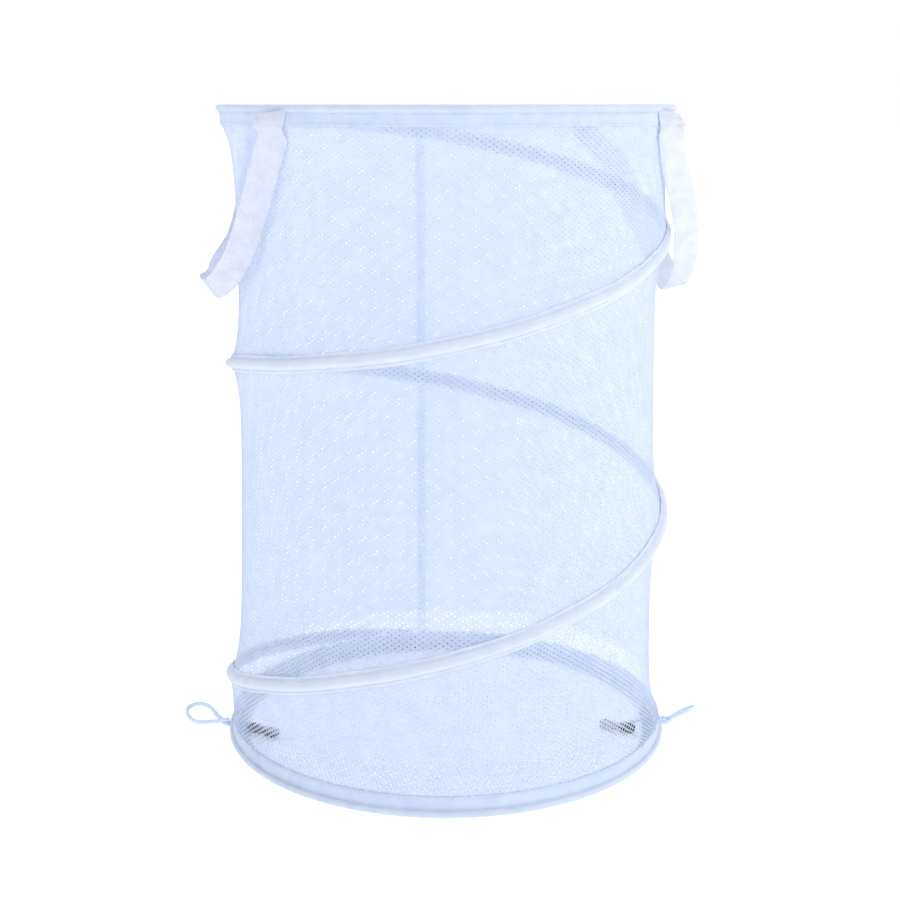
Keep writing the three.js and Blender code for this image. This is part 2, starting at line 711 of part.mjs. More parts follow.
function toggleCord(side) {
  const points = toggleCordPoints[side].map((point) => new THREE.Vector3(...point));
  return cord(points, toggleCordDiameter, toggleCordSides, toggleCordSteps);
}

const hamper = new THREE.Group();

function add(name, geometry, finish) {
  const mesh = new THREE.Mesh(geometry, new THREE.MeshStandardMaterial(finish));
  mesh.name = name;
  hamper.add(mesh);
}

// Base
add("base_hoop_wire", hoopWire(baseWireHeight), finishes.steel);
add("base_hoop_ferrule", hoopFerrule(baseWireHeight), finishes.steel);
add("base_binding", hoopBinding(baseWireHeight, -1), finishes.tape);
add("floor_mesh", floorMesh(), finishes.fabric);
add("floor_seam_tape", floorSeamTape(), finishes.tape);

// Wall
add("mesh_wall", meshWall(), finishes.fabric);
add("spiral_wire", spiralWire(), finishes.steel);
add("spiral_casing", spiralCasing(), finishes.tape);
add("back_seam_tape", backSeamTape(), finishes.tape);

// Rim
add("rim_hoop_wire", hoopWire(rimWireHeight), finishes.steel);
add("rim_hoop_ferrule", hoopFerrule(rimWireHeight), finishes.steel);
add("rim_binding", hoopBinding(rimWireHeight, 1), finishes.tape);

// Handles, each with its two sewn ends
handles.forEach((handle) => {
  const outwardAzimuth = handle.sign > 0 ? 0 : 180;
  const ends = { front: -handle.sign * sewnEndAngle, rear: handle.sign * sewnEndAngle };
  Object.entries(ends).forEach(([place, turn]) => {
    add(`handle_end_${handle.side}_${place}`, handleEnd(outwardAzimuth + turn), finishes.webbing);
  });
  add(`handle_${handle.side}`, handleWebbing(handle), finishes.webbing);
});

// Closures
loops.forEach((loop) => add(`closure_loop_${loop.side}`, closureLoop(loop), finishes.elastic));
toggles.forEach((toggle) => {
  add(`toggle_${toggle.side}`, toggleBarrel(toggle), finishes.blackPlastic);
  add(`toggle_cord_${toggle.side}`, toggleCord(toggle.side), finishes.elastic);
});

export default hamper;
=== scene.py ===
"""A pop up laundry hamper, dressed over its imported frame: mesh, tapes, webbing, cords and toggles.

Lengths are in metres and angles in degrees unless a name says otherwise. The frame's origin is on
the floor at the middle of the base, +Z is up, and the two handles lie on the X axis. Turns are
counted along the spiral wire, from the rim down.
"""

import logging
import math
from dataclasses import dataclass, field
from enum import Enum

import bmesh
import bpy
import numpy as np
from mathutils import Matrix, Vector

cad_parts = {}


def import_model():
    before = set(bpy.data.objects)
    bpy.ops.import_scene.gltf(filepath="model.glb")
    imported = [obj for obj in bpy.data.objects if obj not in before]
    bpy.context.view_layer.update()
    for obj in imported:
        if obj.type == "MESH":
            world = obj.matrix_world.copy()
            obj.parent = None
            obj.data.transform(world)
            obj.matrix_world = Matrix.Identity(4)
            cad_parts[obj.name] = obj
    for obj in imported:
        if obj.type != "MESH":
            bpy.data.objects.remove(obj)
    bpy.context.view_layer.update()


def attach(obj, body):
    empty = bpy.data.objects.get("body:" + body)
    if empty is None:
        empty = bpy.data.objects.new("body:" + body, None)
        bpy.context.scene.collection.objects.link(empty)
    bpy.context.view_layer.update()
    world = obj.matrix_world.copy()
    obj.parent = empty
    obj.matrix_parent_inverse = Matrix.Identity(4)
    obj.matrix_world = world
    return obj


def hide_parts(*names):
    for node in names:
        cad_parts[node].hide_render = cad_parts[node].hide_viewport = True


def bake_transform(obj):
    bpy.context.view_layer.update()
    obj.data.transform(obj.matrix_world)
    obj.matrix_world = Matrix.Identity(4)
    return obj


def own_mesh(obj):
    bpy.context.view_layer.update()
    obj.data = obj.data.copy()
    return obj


Array = np.ndarray
Number = np.ndarray | float
Colour = tuple[float, float, float]
Object = bpy.types.Object
Socket = bpy.types.NodeSocket

LOG = logging.getLogger("hamper")
MM = 0.001
UP = np.array([0.0, 0.0, 1.0])


class Side(Enum):
    """The two sides that carry a handle, a closure loop and a toggle."""

    LEFT = "left"
    RIGHT = "right"

    @property
    def sign(self) -> float:
        """Returns: -1 for the side at -X and 1 for the side at +X."""
        return -1.0 if self is Side.LEFT else 1.0


class Place(Enum):
    """The two sewn ends of a handle: the one nearer -Y, and the one nearer +Y."""

    FRONT = "front"
    REAR = "rear"

    @property
    def sign(self) -> float:
        """Returns: -1 for the end nearer -Y and 1 for the end nearer +Y."""
        return -1.0 if self is Place.FRONT else 1.0


class Level(Enum):
    """The two hoops."""

    RIM = "rim"
    BASE = "base"


@dataclass(frozen=True)
class HamperSizes:
    """Sizes that the pieces share, as in the solid model."""

    height: float = 0.6
    hoop_radius: float = 0.208
    tube_radius: float = 0.0032
    band_height: float = 0.018
    wire_radius: float = 0.0014
    wall_radius: float = 0.206
    band_outer_radius: float = 0.2072
    band_inner_radius: float = 0.2048
    collapsed_rim_edge: float = 0.032
    gap: float = 0.0003

    @property
    def rim_edge(self) -> float:
        """Returns: the height of the lower edge of the rim's tape."""
        return self.height - self.band_height

    @property
    def squash_keep(self) -> float:
        """Returns: the share of the wall's height that is left when the rim is down."""
        return (self.collapsed_rim_edge - self.band_height) / (self.rim_edge - self.band_height)


SIZES = HamperSizes()


def unit(vectors: Array) -> Array:
    """Args: vectors: in the last axis. Returns: the same vectors with length one."""
    return vectors / np.maximum(np.linalg.norm(vectors, axis=-1, keepdims=True), 1e-12)


def square_to(vectors: Array, normal: Array) -> Array:
    """Args: vectors: what is turned. normal: unit vectors. Returns: unit vectors square to it."""
    return unit(vectors - normal * np.sum(vectors * normal, axis=-1, keepdims=True))


def around(azimuth: Number, radius: Number, height: Number) -> Array:
    """Turns cylindrical places into points.

    Args:
        azimuth: angles round the axis, from +X.
        radius: distances from the axis.
        height: heights above the floor.

    Returns:
        Points, with x, y and z in the last axis.
    """
    angle = np.radians(azimuth)
    parts = np.broadcast_arrays(radius * np.cos(angle), radius * np.sin(angle), height)
    return np.stack(parts, axis=-1).astype(float)


def smoothstep(value: Number, low: float, high: float) -> Array:
    """Eases from 0 to 1 between two values.

    Args:
        value: what is eased.
        low: where the result leaves 0.
        high: where the result reaches 1.

    Returns:
        The eased share.
    """
    share = np.clip((np.asarray(value, float) - low) / (high - low), 0.0, 1.0)
    return share * share * (3 - 2 * share)


def ease(start: Array, end: Array, share: Number) -> Array:
    """Args: start: value at share 0. end: value at 1. share: the share. Returns: the value."""
    return start * (1 - share) + end * share


def ripple(place: Array, height: float, pitch: float, phase: float = 0.0) -> Array:
    """Args: place: places. height, pitch, phase: the wave's sizes. Returns: the wave there."""
    return height * np.sin(place * 2 * np.pi / pitch + phase)


def even_angles(steps: int, whole: float = 2 * np.pi) -> Array:
    """Args: steps: how many. whole: a full turn. Returns: angles spread evenly over the turn."""
    return whole * np.arange(steps) / steps


def path_lengths(path: Array) -> Array:
    """Args: path: points along a line. Returns: the length along it to each point."""
    return np.concatenate([[0.0], np.cumsum(np.linalg.norm(np.diff(path, axis=0), axis=1))])


def sample(places: Array, lengths: Array, rows: Array) -> Array:
    """Args: places: lengths to look at. lengths, rows: what is known. Returns: the rows there."""
    return np.stack([np.interp(places, lengths, rows[:, k]) for k in range(3)], axis=-1)


def cloth_uv(along: Array, across: Array) -> Array:
    """Args: along, across: places along and across the cloth. Returns: both in the last axis."""
    return np.stack(np.broadcast_arrays(along, across), axis=-1)


class MeshMaker:
    """Makes mesh objects out of arrays of points."""

    @staticmethod
    def from_arrays(name: str, points: Array, quads: Array, uv: Array | None = None) -> Object:
        """Makes a smooth object of four-sided faces.

        Args:
            name: the object's name.
            points: one row per vertex.
            quads: one row of four vertex numbers per face.
            uv: one row per vertex, in metres along the cloth.

        Returns:
            The new object.
        """
        mesh = bpy.data.meshes.new(name)
        mesh.vertices.add(len(points))
        mesh.vertices.foreach_set("co", np.asarray(points, np.float32).ravel())
        mesh.loops.add(quads.size)
        mesh.loops.foreach_set("vertex_index", quads.astype(np.int32).ravel())
        mesh.polygons.add(len(quads))
        mesh.polygons.foreach_set("loop_start", np.arange(len(quads), dtype=np.int32) * 4)
        mesh.polygons.foreach_set("use_smooth", np.full(len(quads), True))
        if uv is not None:
            layer = mesh.uv_layers.new(name="UVMap")
            layer.data.foreach_set("uv", np.asarray(uv, np.float32)[quads.ravel()].ravel())
        mesh.update(calc_edges=True)
        mesh.validate()
        obj = bpy.data.objects.new(name, mesh)
        bpy.context.scene.collection.objects.link(obj)
        return obj

    @staticmethod
    def closed_faces(rows: int, columns: int) -> Array:
        """Numbers the faces between rings of points.

        Args:
            rows: how many rings there are.
            columns: how many points each ring has.

        Returns:
            One row of four vertex numbers per face.
        """
        i, j = np.meshgrid(np.arange(rows - 1), np.arange(columns), indexing="ij")
        here = i * columns + j
        beside = i * columns + (j + 1) % columns
        return np.stack([here, beside, beside + columns, here + columns], axis=-1).reshape(-1, 4)

    @classmethod
    def tube(cls, name: str, rings: Array, uv: Array, join_ends: bool = False) -> Object:
        """Skins rings of points into a tube, with ends that close to a point or join each other.

        Args:
            name: the object's name.
            rings: points, as rings by points by xyz.
            uv: places along and around the tube, as rings by points by two.
            join_ends: whether the last ring joins the first.

        Returns:
            The new object.
        """
        count, columns = rings.shape[:2]
        if join_ends:
            last = uv[:1] + np.array([np.ptp(uv[..., 0]) * count / (count - 1), 0.0])
            rings, uv = np.concatenate([rings, rings[:1]]), np.concatenate([uv, last])
        else:
            start, end = (
                np.repeat(ring.mean(axis=1, keepdims=True), columns, axis=1)
                for ring in (rings[:1], rings[-1:])
            )
            rings, uv = np.concatenate([start, rings, end]), np.concatenate([uv[:1], uv, uv[-1:]])
        faces = cls.closed_faces(len(rings), columns)
        obj = cls.from_arrays(name, rings.reshape(-1, 3), faces, uv.reshape(-1, 2))
        cls.weld(obj)
        return obj

    @staticmethod
    def weld(obj: Object, distance: float = 1e-6) -> None:
        """Joins vertices that lie at one place and turns the faces outward.

        Args:
            obj: the object whose mesh is cleaned.
            distance: how near two vertices are to be joined.
        """
        work = bmesh.new()
        work.from_mesh(obj.data)
        bmesh.ops.remove_doubles(work, verts=work.verts, dist=distance)
        bmesh.ops.recalc_face_normals(work, faces=work.faces)
        work.to_mesh(obj.data)
        work.free()


class NodeGraph:
    """A short way to write a material's nodes, where an input takes an output or a value."""

    def __init__(self, name: str) -> None:
        """Starts a material.

        Args:
            name: the material's name.
        """
        self.material = bpy.data.materials.new(name)
        self.material.use_nodes = True
        self.tree = self.material.node_tree
        self.shader = self.tree.nodes["Principled BSDF"]

    def feed(self, socket: Socket, value: object) -> None:
        """Gives an input what it takes.

        Args:
            socket: an input.
            value: the output that feeds it, or its value.
        """
        if isinstance(value, Socket):
            self.tree.links.new(value, socket)
        else:
            socket.default_value = value

    def set(self, node: bpy.types.Node, **inputs: object) -> bpy.types.Node:
        """Gives a node's inputs what they take.

        Args:
            node: a node.
            **inputs: its inputs, with underscores for the spaces in their names.

        Returns:
            The node.
        """
        for name, value in inputs.items():
            self.feed(node.inputs[name.replace("_", " ")], value)
        return node

    def node(self, kind: str, **inputs: object) -> bpy.types.Node:
        """Args: kind: the node's type name. **inputs: its inputs. Returns: the new node."""
        return self.set(self.tree.nodes.new(kind), **inputs)

    def math(self, operation: str, *values: object) -> Socket:
        """Adds a sum.

        Args:
            operation: the name of the operation.
            *values: what it works on.

        Returns:
            The result.
        """
        made = self.node("ShaderNodeMath")
        made.operation = operation
        for socket, value in zip(made.inputs, values):
            self.feed(socket, value)
        return made.outputs[0]

    def mix(self, first: Socket, first_share: float, second: Socket, second_share: float) -> Socket:
        """Args: each source and its share. Returns: the sum of both, each times its share."""
        return self.math(
            "ADD",
            self.math("MULTIPLY", first, first_share),
            self.math("MULTIPLY", second, second_share),
        )

    def cloth_place(self) -> tuple[Socket, Socket]:
        """Reads the cloth's own coordinates.

        Returns:
            The places along and across the cloth, in metres.
        """
        uv = self.node("ShaderNodeUVMap")
        uv.uv_map = "UVMap"
        parts = self.node("ShaderNodeSeparateXYZ", Vector=uv.outputs["UV"])
        return parts.outputs["X"], parts.outputs["Y"]

    def wave(self, place: Socket, pitch: float) -> Socket:
        """Args: place: the place to follow. pitch: a wave's length. Returns: a wave from 0 to 1."""
        return self.math(
            "MULTIPLY_ADD",
            self.math("SINE", self.math("MULTIPLY", place, 2 * math.pi / pitch)),
            0.5,
            0.5,
        )

    def noise(self, scale: float, detail: float = 3.0) -> Socket:
        """Args: scale: per metre. detail: its finer layers. Returns: a noise fixed to the piece."""
        place = self.node("ShaderNodeTexCoord").outputs["Object"]
        return self.node(
            "ShaderNodeTexNoise", Vector=place, Scale=scale, Detail=detail,
        ).outputs["Fac"]

    def colour(
        self, factor: Socket, dark: Colour, light: Colour, low: float = 0.3, high: float = 0.7,
    ) -> None:
        """Gives the shader a colour between two.

        Args:
            factor: what picks the colour.
            dark: the colour at the low end.
            light: the colour at the high end.
            low: the factor at the low end.
            high: the factor at the high end.
        """
        made = self.node("ShaderNodeValToRGB", Fac=factor)
        for number, (place, colour) in enumerate(((low, dark), (high, light))):
            made.color_ramp.elements[number].position = place
            made.color_ramp.elements[number].color = (*colour, 1.0)
        self.shade(Base_Color=made.outputs["Color"])

    def roughness(self, noise: Socket, low: float, high: float) -> None:
        """Args: noise: what picks the roughness. low: the least. high: the most."""
        made = self.node("ShaderNodeMapRange", Value=noise, To_Min=low, To_Max=high)
        self.shade(Roughness=made.outputs["Result"])

    def bump(self, height: Socket, distance: float) -> None:
        """Args: height: the relief, from 0 to 1. distance: its height."""
        made = self.node("ShaderNodeBump", Height=height, Distance=distance, Strength=1.0)
        self.shade(Normal=made.outputs["Normal"])

    def shade(self, **inputs: object) -> None:
        """Args: **inputs: the shader's own inputs."""
        self.set(self.shader, **inputs)


@dataclass(frozen=True)
class Finish:
    """A material made of nodes, by its name and the name of a material slot."""

    name: str
    slot: str

    def build(self) -> bpy.types.Material:
        """Returns: the material."""
        raise NotImplementedError

    def material(self) -> bpy.types.Material:
        """Returns: the one material of this finish, made when it is first asked for."""
        return bpy.data.materials.get(self.name) or self.build()


@dataclass(frozen=True)
class ClothFinish(Finish):
    """Woven cloth, tape or webbing.

    Attributes:
        dark: the darker colour, painted shade in the hollows of the weave and the dark end of a
            random mottle.
        light: the lighter colour, painted highlight on its crowns and the light end of a random
            mottle.
        warp_pitch: the distance between threads across the cloth.
        weft_pitch: the distance between threads along the cloth.
        relief: the height of the weave.
        ribs: how much the lengthwise threads stand out, from 0 to 1.
        sheen: the strength of the sheen.
        clearness: the share of light that passes through the cloth.
    """

    dark: Colour = (0.60, 0.70, 0.93)
    light: Colour = (0.78, 0.86, 1.0)
    warp_pitch: float = 0.0006
    weft_pitch: float = 0.0006
    relief: float = 0.00012
    ribs: float = 0.5
    sheen: float = 0.3
    clearness: float = 0.3

    def build(self) -> bpy.types.Material:
        """Makes a weave in relief, with mottled colour, shade painted into the weave's hollows and a
        soft sheen.

        Returns:
            The material.
        """
        graph = NodeGraph(self.name)
        along, across = graph.cloth_place()
        warp, weft = graph.wave(across, self.warp_pitch), graph.wave(along, self.weft_pitch)
        weave = graph.mix(warp, self.ribs, graph.math("MULTIPLY", weft, warp), 1 - self.ribs)
        # The weave picks part of the colour: painted shade in its hollows and painted highlight on
        # its crowns, mixed with a random mottle.
        graph.colour(
            graph.mix(weave, 0.45, graph.noise(90.0), 0.75), self.dark, self.light, 0.15, 0.75,
        )
        graph.bump(graph.mix(weave, 1.0, graph.noise(2600.0), 0.35), self.relief)
        graph.shade(
            Roughness=0.82, Sheen_Weight=self.sheen, Sheen_Roughness=0.5, Specular_IOR_Level=0.25,
        )
        graph.shade(Transmission_Weight=self.clearness, IOR=1.01)
        return graph.material


@dataclass(frozen=True)
class KnitFinish(Finish):
    """The thread of the mesh.

    Attributes:
        dark: the darker colour, painted shade between filaments and the dark end of a random mottle.
        light: the lighter colour, painted highlight on their crowns and the light end of a random
            mottle.
        light: the colour on their crowns.
        filament: the distance between filaments.
        clearness: the share of light that passes through the thread.
    """

    dark: Colour = (0.595, 0.68, 0.885)
    light: Colour = (0.725, 0.795, 0.95)
    filament: float = 0.0005
    clearness: float = 0.35

    def build(self) -> bpy.types.Material:
        """Makes thread which lets some light through, with filaments in relief and shade painted
        between them.

        Returns:
            The material.
        """
        graph = NodeGraph(self.name)
        along, across = graph.cloth_place()
        filaments = graph.wave(graph.mix(along, 0.6, across, 1.0), self.filament)
        # The filaments pick part of the colour: painted shade between them and painted highlight on
        # their crowns, mixed with a random mottle.
        graph.colour(
            graph.mix(filaments, 0.3, graph.noise(60.0), 0.7), self.dark, self.light, 0.25, 0.8,
        )
        graph.bump(filaments, 0.00008)
        graph.shade(Roughness=0.75, Sheen_Weight=0.2, Sheen_Roughness=0.5, Specular_IOR_Level=0.3)
        graph.shade(Transmission_Weight=self.clearness, IOR=1.01)
        return graph.material


@dataclass(frozen=True)
class BraidFinish(Finish):
    """Braided elastic cord.

    Attributes:
        dark: the darker colour, painted shade between strands and the dark end of a random mottle.
        light: the lighter colour, painted highlight on their crowns and the light end of a random
            mottle.
        pitch: the distance between strands along the cord.
        girth: the distance round the cord.
    """

    dark: Colour = (0.52, 0.63, 0.9)
    light: Colour = (0.76, 0.85, 1.0)
    pitch: float = 0.0016
    girth: float = 0.0132

    def build(self) -> bpy.types.Material:
        """Makes two sets of strands that cross round the cord, with shade painted between them.

        Returns:
            The material.
        """
        graph = NodeGraph(self.name)
        along, across = graph.cloth_place()
        lean = graph.math("MULTIPLY", across, 4 * self.pitch / self.girth)
        ways = (
            graph.wave(graph.math(sign, along, lean), self.pitch) for sign in ("ADD", "SUBTRACT")
        )
        strands = graph.math("MAXIMUM", *ways)
        # The strands pick part of the colour: painted shade between them and painted highlight on
        # their crowns, mixed with a random mottle.
        graph.colour(
            graph.mix(strands, 0.6, graph.noise(300.0), 0.4), self.dark, self.light, 0.3, 0.85,
        )
        graph.bump(strands, 0.00025)
        graph.shade(Roughness=0.7, Sheen_Weight=0.25, Specular_IOR_Level=0.3)
        return graph.material


@dataclass(frozen=True)
class SteelFinish(Finish):
    """Drawn steel wire."""

    def build(self) -> bpy.types.Material:
        """Makes steel with draw marks and uneven tarnish.

        Returns:
            The material.
        """
        graph = NodeGraph(self.name)
        graph.colour(graph.noise(140.0, 5.0), (0.36, 0.35, 0.34), (0.66, 0.67, 0.7))
        graph.roughness(graph.noise(700.0), 0.25, 0.5)
        graph.bump(graph.noise(2500.0), 0.00003)
        graph.shade(Metallic=1.0)
        return graph.material


@dataclass(frozen=True)
class PlasticFinish(Finish):
    """Black moulded plastic."""

    def build(self) -> bpy.types.Material:
        """Makes plastic with a fine moulded grain and rubbed patches.

        Returns:
            The material.
        """
        graph = NodeGraph(self.name)
        rub = graph.noise(220.0, 4.0)
        graph.colour(rub, (0.002, 0.002, 0.003), (0.01, 0.01, 0.012))
        graph.roughness(rub, 0.45, 0.65)
        graph.bump(graph.noise(3500.0), 0.00004)
        graph.shade(Specular_IOR_Level=0.2)
        return graph.material


@dataclass(frozen=True)
class Finishes:
    """Every finish on the hamper."""

    tape: ClothFinish = ClothFinish("woven_tape", "binding_tape")
    # Painted light: the casing's tape is coloured lighter than the hoops' tape, to lift the shade on
    # its turns seen from inside the wall.
    painted_light_tape: ClothFinish = ClothFinish(
        "painted_light_tape", "binding_tape",
        dark=(0.73, 0.81, 0.96), light=(0.87, 0.92, 1.0), clearness=0.35,
    )
    # Painted light: the seam's tape is coloured lighter than the hoops' tape, to lift the shade it
    # lies in inside the wall.
    seam_tape: ClothFinish = ClothFinish(
        "seam_tape", "binding_tape",
        dark=(0.74, 0.82, 0.98), light=(0.86, 0.92, 1.0), clearness=0.75,
    )
    webbing: ClothFinish = ClothFinish(
        "ribbed_webbing", "webbing", dark=(0.66, 0.71, 0.85), light=(0.86, 0.88, 0.97),
        warp_pitch=0.00155, weft_pitch=0.0011, relief=0.0003, ribs=0.7, sheen=0.15,
    )
    thread: ClothFinish = ClothFinish(
        "sewing_thread", "binding_tape", light=(0.84, 0.9, 1.0),
        warp_pitch=0.0003, weft_pitch=0.0004, relief=0.00005,
    )
    knit: KnitFinish = KnitFinish("mesh_thread", "mesh_fabric")
    # Painted light: the floor's thread is coloured lighter than the wall's, to lift the shade that
    # falls on the floor inside the wall.
    floor_knit: KnitFinish = KnitFinish(
        "floor_thread", "mesh_fabric",
        dark=(0.76, 0.83, 0.97), light=(0.88, 0.92, 1.0), clearness=0.45,
    )
    braid: BraidFinish = BraidFinish("elastic_braid", "elastic_cord")
    steel: SteelFinish = SteelFinish("drawn_steel", "spring_steel")
    plastic: PlasticFinish = PlasticFinish("black_moulding", "black_plastic")


FINISHES = Finishes()


def dress(obj: Object, finish: Finish, body: str, *nodes: str) -> Object:
    """Gives a piece its material and the body it moves with, and hides the solids it stands for.

    Args:
        obj: the piece.
        finish: its finish.
        body: the body it rides on, or an empty text for a piece that rides on no body.
        *nodes: the solids it replaces.

    Returns:
        The piece.
    """
    obj.data.materials.clear()
    obj.data.materials.append(finish.material())
    if nodes:
        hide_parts(*nodes)
    if body:
        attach(obj, body)
    return obj


def squash_wall(obj: Object) -> None:
    """Args: obj: a piece of the wall, which is given a mesh of its own."""
    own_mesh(obj)


@dataclass(frozen=True)
class Spiral:
    """The run of the spiral wire, from the rim down.

    Attributes:
        start_azimuth: where it leaves the rim.
        height_shares: its height at each quarter turn, as shares of the hamper's height.
        offset_turns: turns at which its radius is known.
        offsets: how far it stands from the hoops' radius there.
        step: the turns over which its direction is taken.
    """

    start_azimuth: float = 169.5
    height_shares: tuple[float, ...] = (
        1, 0.948, 0.815, 0.675, 0.598, 0.507, 0.377, 0.23, 0.093, 0.013,
    )
    offset_turns: tuple[float, ...] = (0.0, 0.5, 1.0, 1.25, 1.5, 2.0, 2.25)
    offsets: tuple[float, ...] = (0.0, -0.001, -0.0032, -0.001, 0.0012, 0.0028, 0.0004)
    step: float = 0.002

    @property
    def turns(self) -> float:
        """Returns: how many turns it makes."""
        return (len(self.height_shares) - 1) / 4

    def turn(self, azimuth: Number) -> Array:
        """Args: azimuth: an angle. Returns: the turns from the start down to it."""
        return (self.start_azimuth - np.asarray(azimuth, float)) / 360.0

    def passes(self, azimuth: Number) -> list[Array]:
        """Args: azimuth: an angle. Returns: the turns at which the wire may pass it, downward."""
        first = np.mod(self.turn(azimuth), 1.0)
        return [first + winding for winding in range(math.ceil(self.turns))]

    def height(self, turn: Number) -> Array:
        """Finds the wire's height, on a smooth curve.

        Args:
            turn: turns from the start.

        Returns:
            The height there.
        """
        shares = np.array(self.height_shares)
        last = len(shares) - 1
        slope = (shares[0] - shares[last]) / last
        place = np.asarray(turn, float) * 4
        quarter = np.floor(place)
        part = place - quarter

        def share(step: int) -> Array:
            """Args: step: quarters from this one. Returns: the share of the height there."""
            at = quarter + step
            inside = np.clip(at, 0, last)
            return shares[inside.astype(int)] - slope * (at - inside)

        before, start, end, after = (share(step) for step in (-1, 0, 1, 2))
        start_slope, end_slope = (end - before) / 2, (after - start) / 2
        bend = 2 * (start - end) + start_slope + end_slope
        rise = 3 * (end - start) - 2 * start_slope - end_slope
        return SIZES.height * (start + part * (start_slope + part * (rise + part * bend)))

    def radius(self, turn: Number) -> Array:
        """Args: turn: turns from the start. Returns: the wire's distance from the axis."""
        return SIZES.hoop_radius + np.interp(turn, self.offset_turns, self.offsets)

    def point(self, turn: Number) -> Array:
        """Args: turn: turns from the start. Returns: the wire's middle there."""
        return around(self.start_azimuth - 360.0 * turn, self.radius(turn), self.height(turn))

    def frame(self, turns: Array) -> tuple[Array, Array, Array]:
        """Finds the wire's place and directions.

        Args:
            turns: turns from the start.

        Returns:
            Points, and the directions outward, and up across the wire.
        """
        along = unit(self.point(turns + self.step) - self.point(turns - self.step))
        outward = around(self.start_azimuth - 360.0 * turns, 1.0, 0.0)
        up = unit(np.cross(outward, along))
        return self.point(turns), outward, np.where(up[..., 2:] < 0, -up, up)


SPIRAL = Spiral()


@dataclass(frozen=True)
class WallShape:
    """The surface of the mesh wall: hoops and spiral hold it out, and it draws in between them.

    Attributes:
        draw: how far it draws in on a long span.
        full_span: the length of span that draws in fully.
        ease: the distance over which it leaves a support.
        half_sheet: the distance from the wire's face to the sheet's middle.
    """

    draw: float = 0.0105
    full_span: float = 0.15
    ease: float = 0.022
    half_sheet: float = 0.0006

    def radius(self, azimuth: Array, height: Array) -> Array:
        """Finds the wall's distance from the axis.

        Args:
            azimuth: angles round the axis.
            height: heights above the floor.

        Returns:
            The distance at each place.
        """
        azimuth, height = np.broadcast_arrays(np.asarray(azimuth, float), np.asarray(height, float))
        above = np.full(height.shape, SIZES.rim_edge)
        below = np.full(height.shape, SIZES.band_height)
        above_radius, below_radius = (np.full(height.shape, SIZES.wall_radius) for _ in range(2))
        for turn in SPIRAL.passes(azimuth):
            there, support = turn <= SPIRAL.turns, SPIRAL.height(turn)
            radius = SPIRAL.radius(turn) - SIZES.wire_radius - self.half_sheet
            higher = there & (support >= height) & (support < above)
            lower = there & (support < height) & (support > below)
            above_radius = np.where(higher, radius, above_radius)
            above = np.where(higher, support, above)
            below_radius = np.where(lower, radius, below_radius)
            below = np.where(lower, support, below)
        span = np.maximum(above - below, 1e-6)
        leaving, meeting = (
            1 - np.exp(-np.maximum(room, 0) / self.ease)
            for room in (above - height, height - below)
        )
        draw = self.draw * np.minimum(span / self.full_span, 1) ** 3 * leaving * meeting
        return ease(above_radius, below_radius, np.clip((above - height) / span, 0, 1)) - draw

    @staticmethod
    def panel(azimuth: Array, height: Array) -> Array:
        """Args: azimuth, height: places on the wall. Returns: how many windings lie above each."""
        return sum(
            (turn <= SPIRAL.turns) & (SPIRAL.height(turn) > height)
            for turn in SPIRAL.passes(azimuth)
        )


WALL = WallShape()


class StitchRun:
    """A line of sewn stitches, each of a few rings: places along it, and thicknesses."""

    LENGTH = 0.0026
    PITCH = 0.0033
    RADIUS = 0.0003
    SIDES = 6
    DIP = 0.7
    ARCH = 1.6
    AHEAD = 0.0008
    RINGS = ((-1.0, 0.15), (-0.8, 0.8), (-0.25, 1.0), (0.25, 1.0), (0.8, 0.8), (1.0, 0.15))

    def __init__(self, name: str) -> None:
        """Starts a run without stitches.

        Args:
            name: the piece's name.
        """
        self.name = name
        self.points: list[Array] = []
        self.faces: list[Array] = []
        self.count = 0

    def template(self) -> Array:
        """Makes the shape of one stitch.

        Returns:
            Its rings of points, as places along it, out of the cloth and across.
        """
        angle = even_angles(self.SIDES)
        return np.array([np.stack([
            np.full(self.SIDES, share * self.LENGTH / 2),
            self.RADIUS * (girth * np.cos(angle) + self.DIP * (1 - self.ARCH * share * share)),
            self.RADIUS * girth * np.sin(angle),
        ], axis=-1) for share, girth in self.RINGS])

    def add(self, path: Array, outward: Array) -> None:
        """Sews along a path.

        Args:
            path: points along the line, close together.
            outward: the direction out of the cloth at each point.
        """
        lengths = path_lengths(path)
        places = np.arange(self.PITCH / 2, lengths[-1], self.PITCH)
        behind, centre, ahead = (
            sample(places + step, lengths, path) for step in (-self.AHEAD, 0, self.AHEAD)
        )
        along = unit(ahead - behind)
        out = square_to(unit(sample(places, lengths, outward)), along)
        shape = self.template()
        local = shape.reshape(-1, 3)
        ways = np.stack([along, out, np.cross(along, out)], axis=1)
        offsets = self.count + np.arange(len(places)) * len(local)
        faces = MeshMaker.closed_faces(*shape.shape[:2])
        self.points.append((centre[:, None] + local @ ways).reshape(-1, 3))
        self.faces.append((faces[None] + offsets[:, None, None]).reshape(-1, 4))
        self.count += len(places) * len(local)

    def finish(self, body: str) -> Object:
        """Makes all the stitches one piece.

        Args:
            body: the body it rides on, or an empty text.

        Returns:
            The stitches.
        """
        points = np.concatenate(self.points)
        uv = points[:, :2] + points[:, 2:]
        obj = MeshMaker.from_arrays(self.name, points, np.concatenate(self.faces), uv)
        return dress(obj, FINISHES.thread, body)


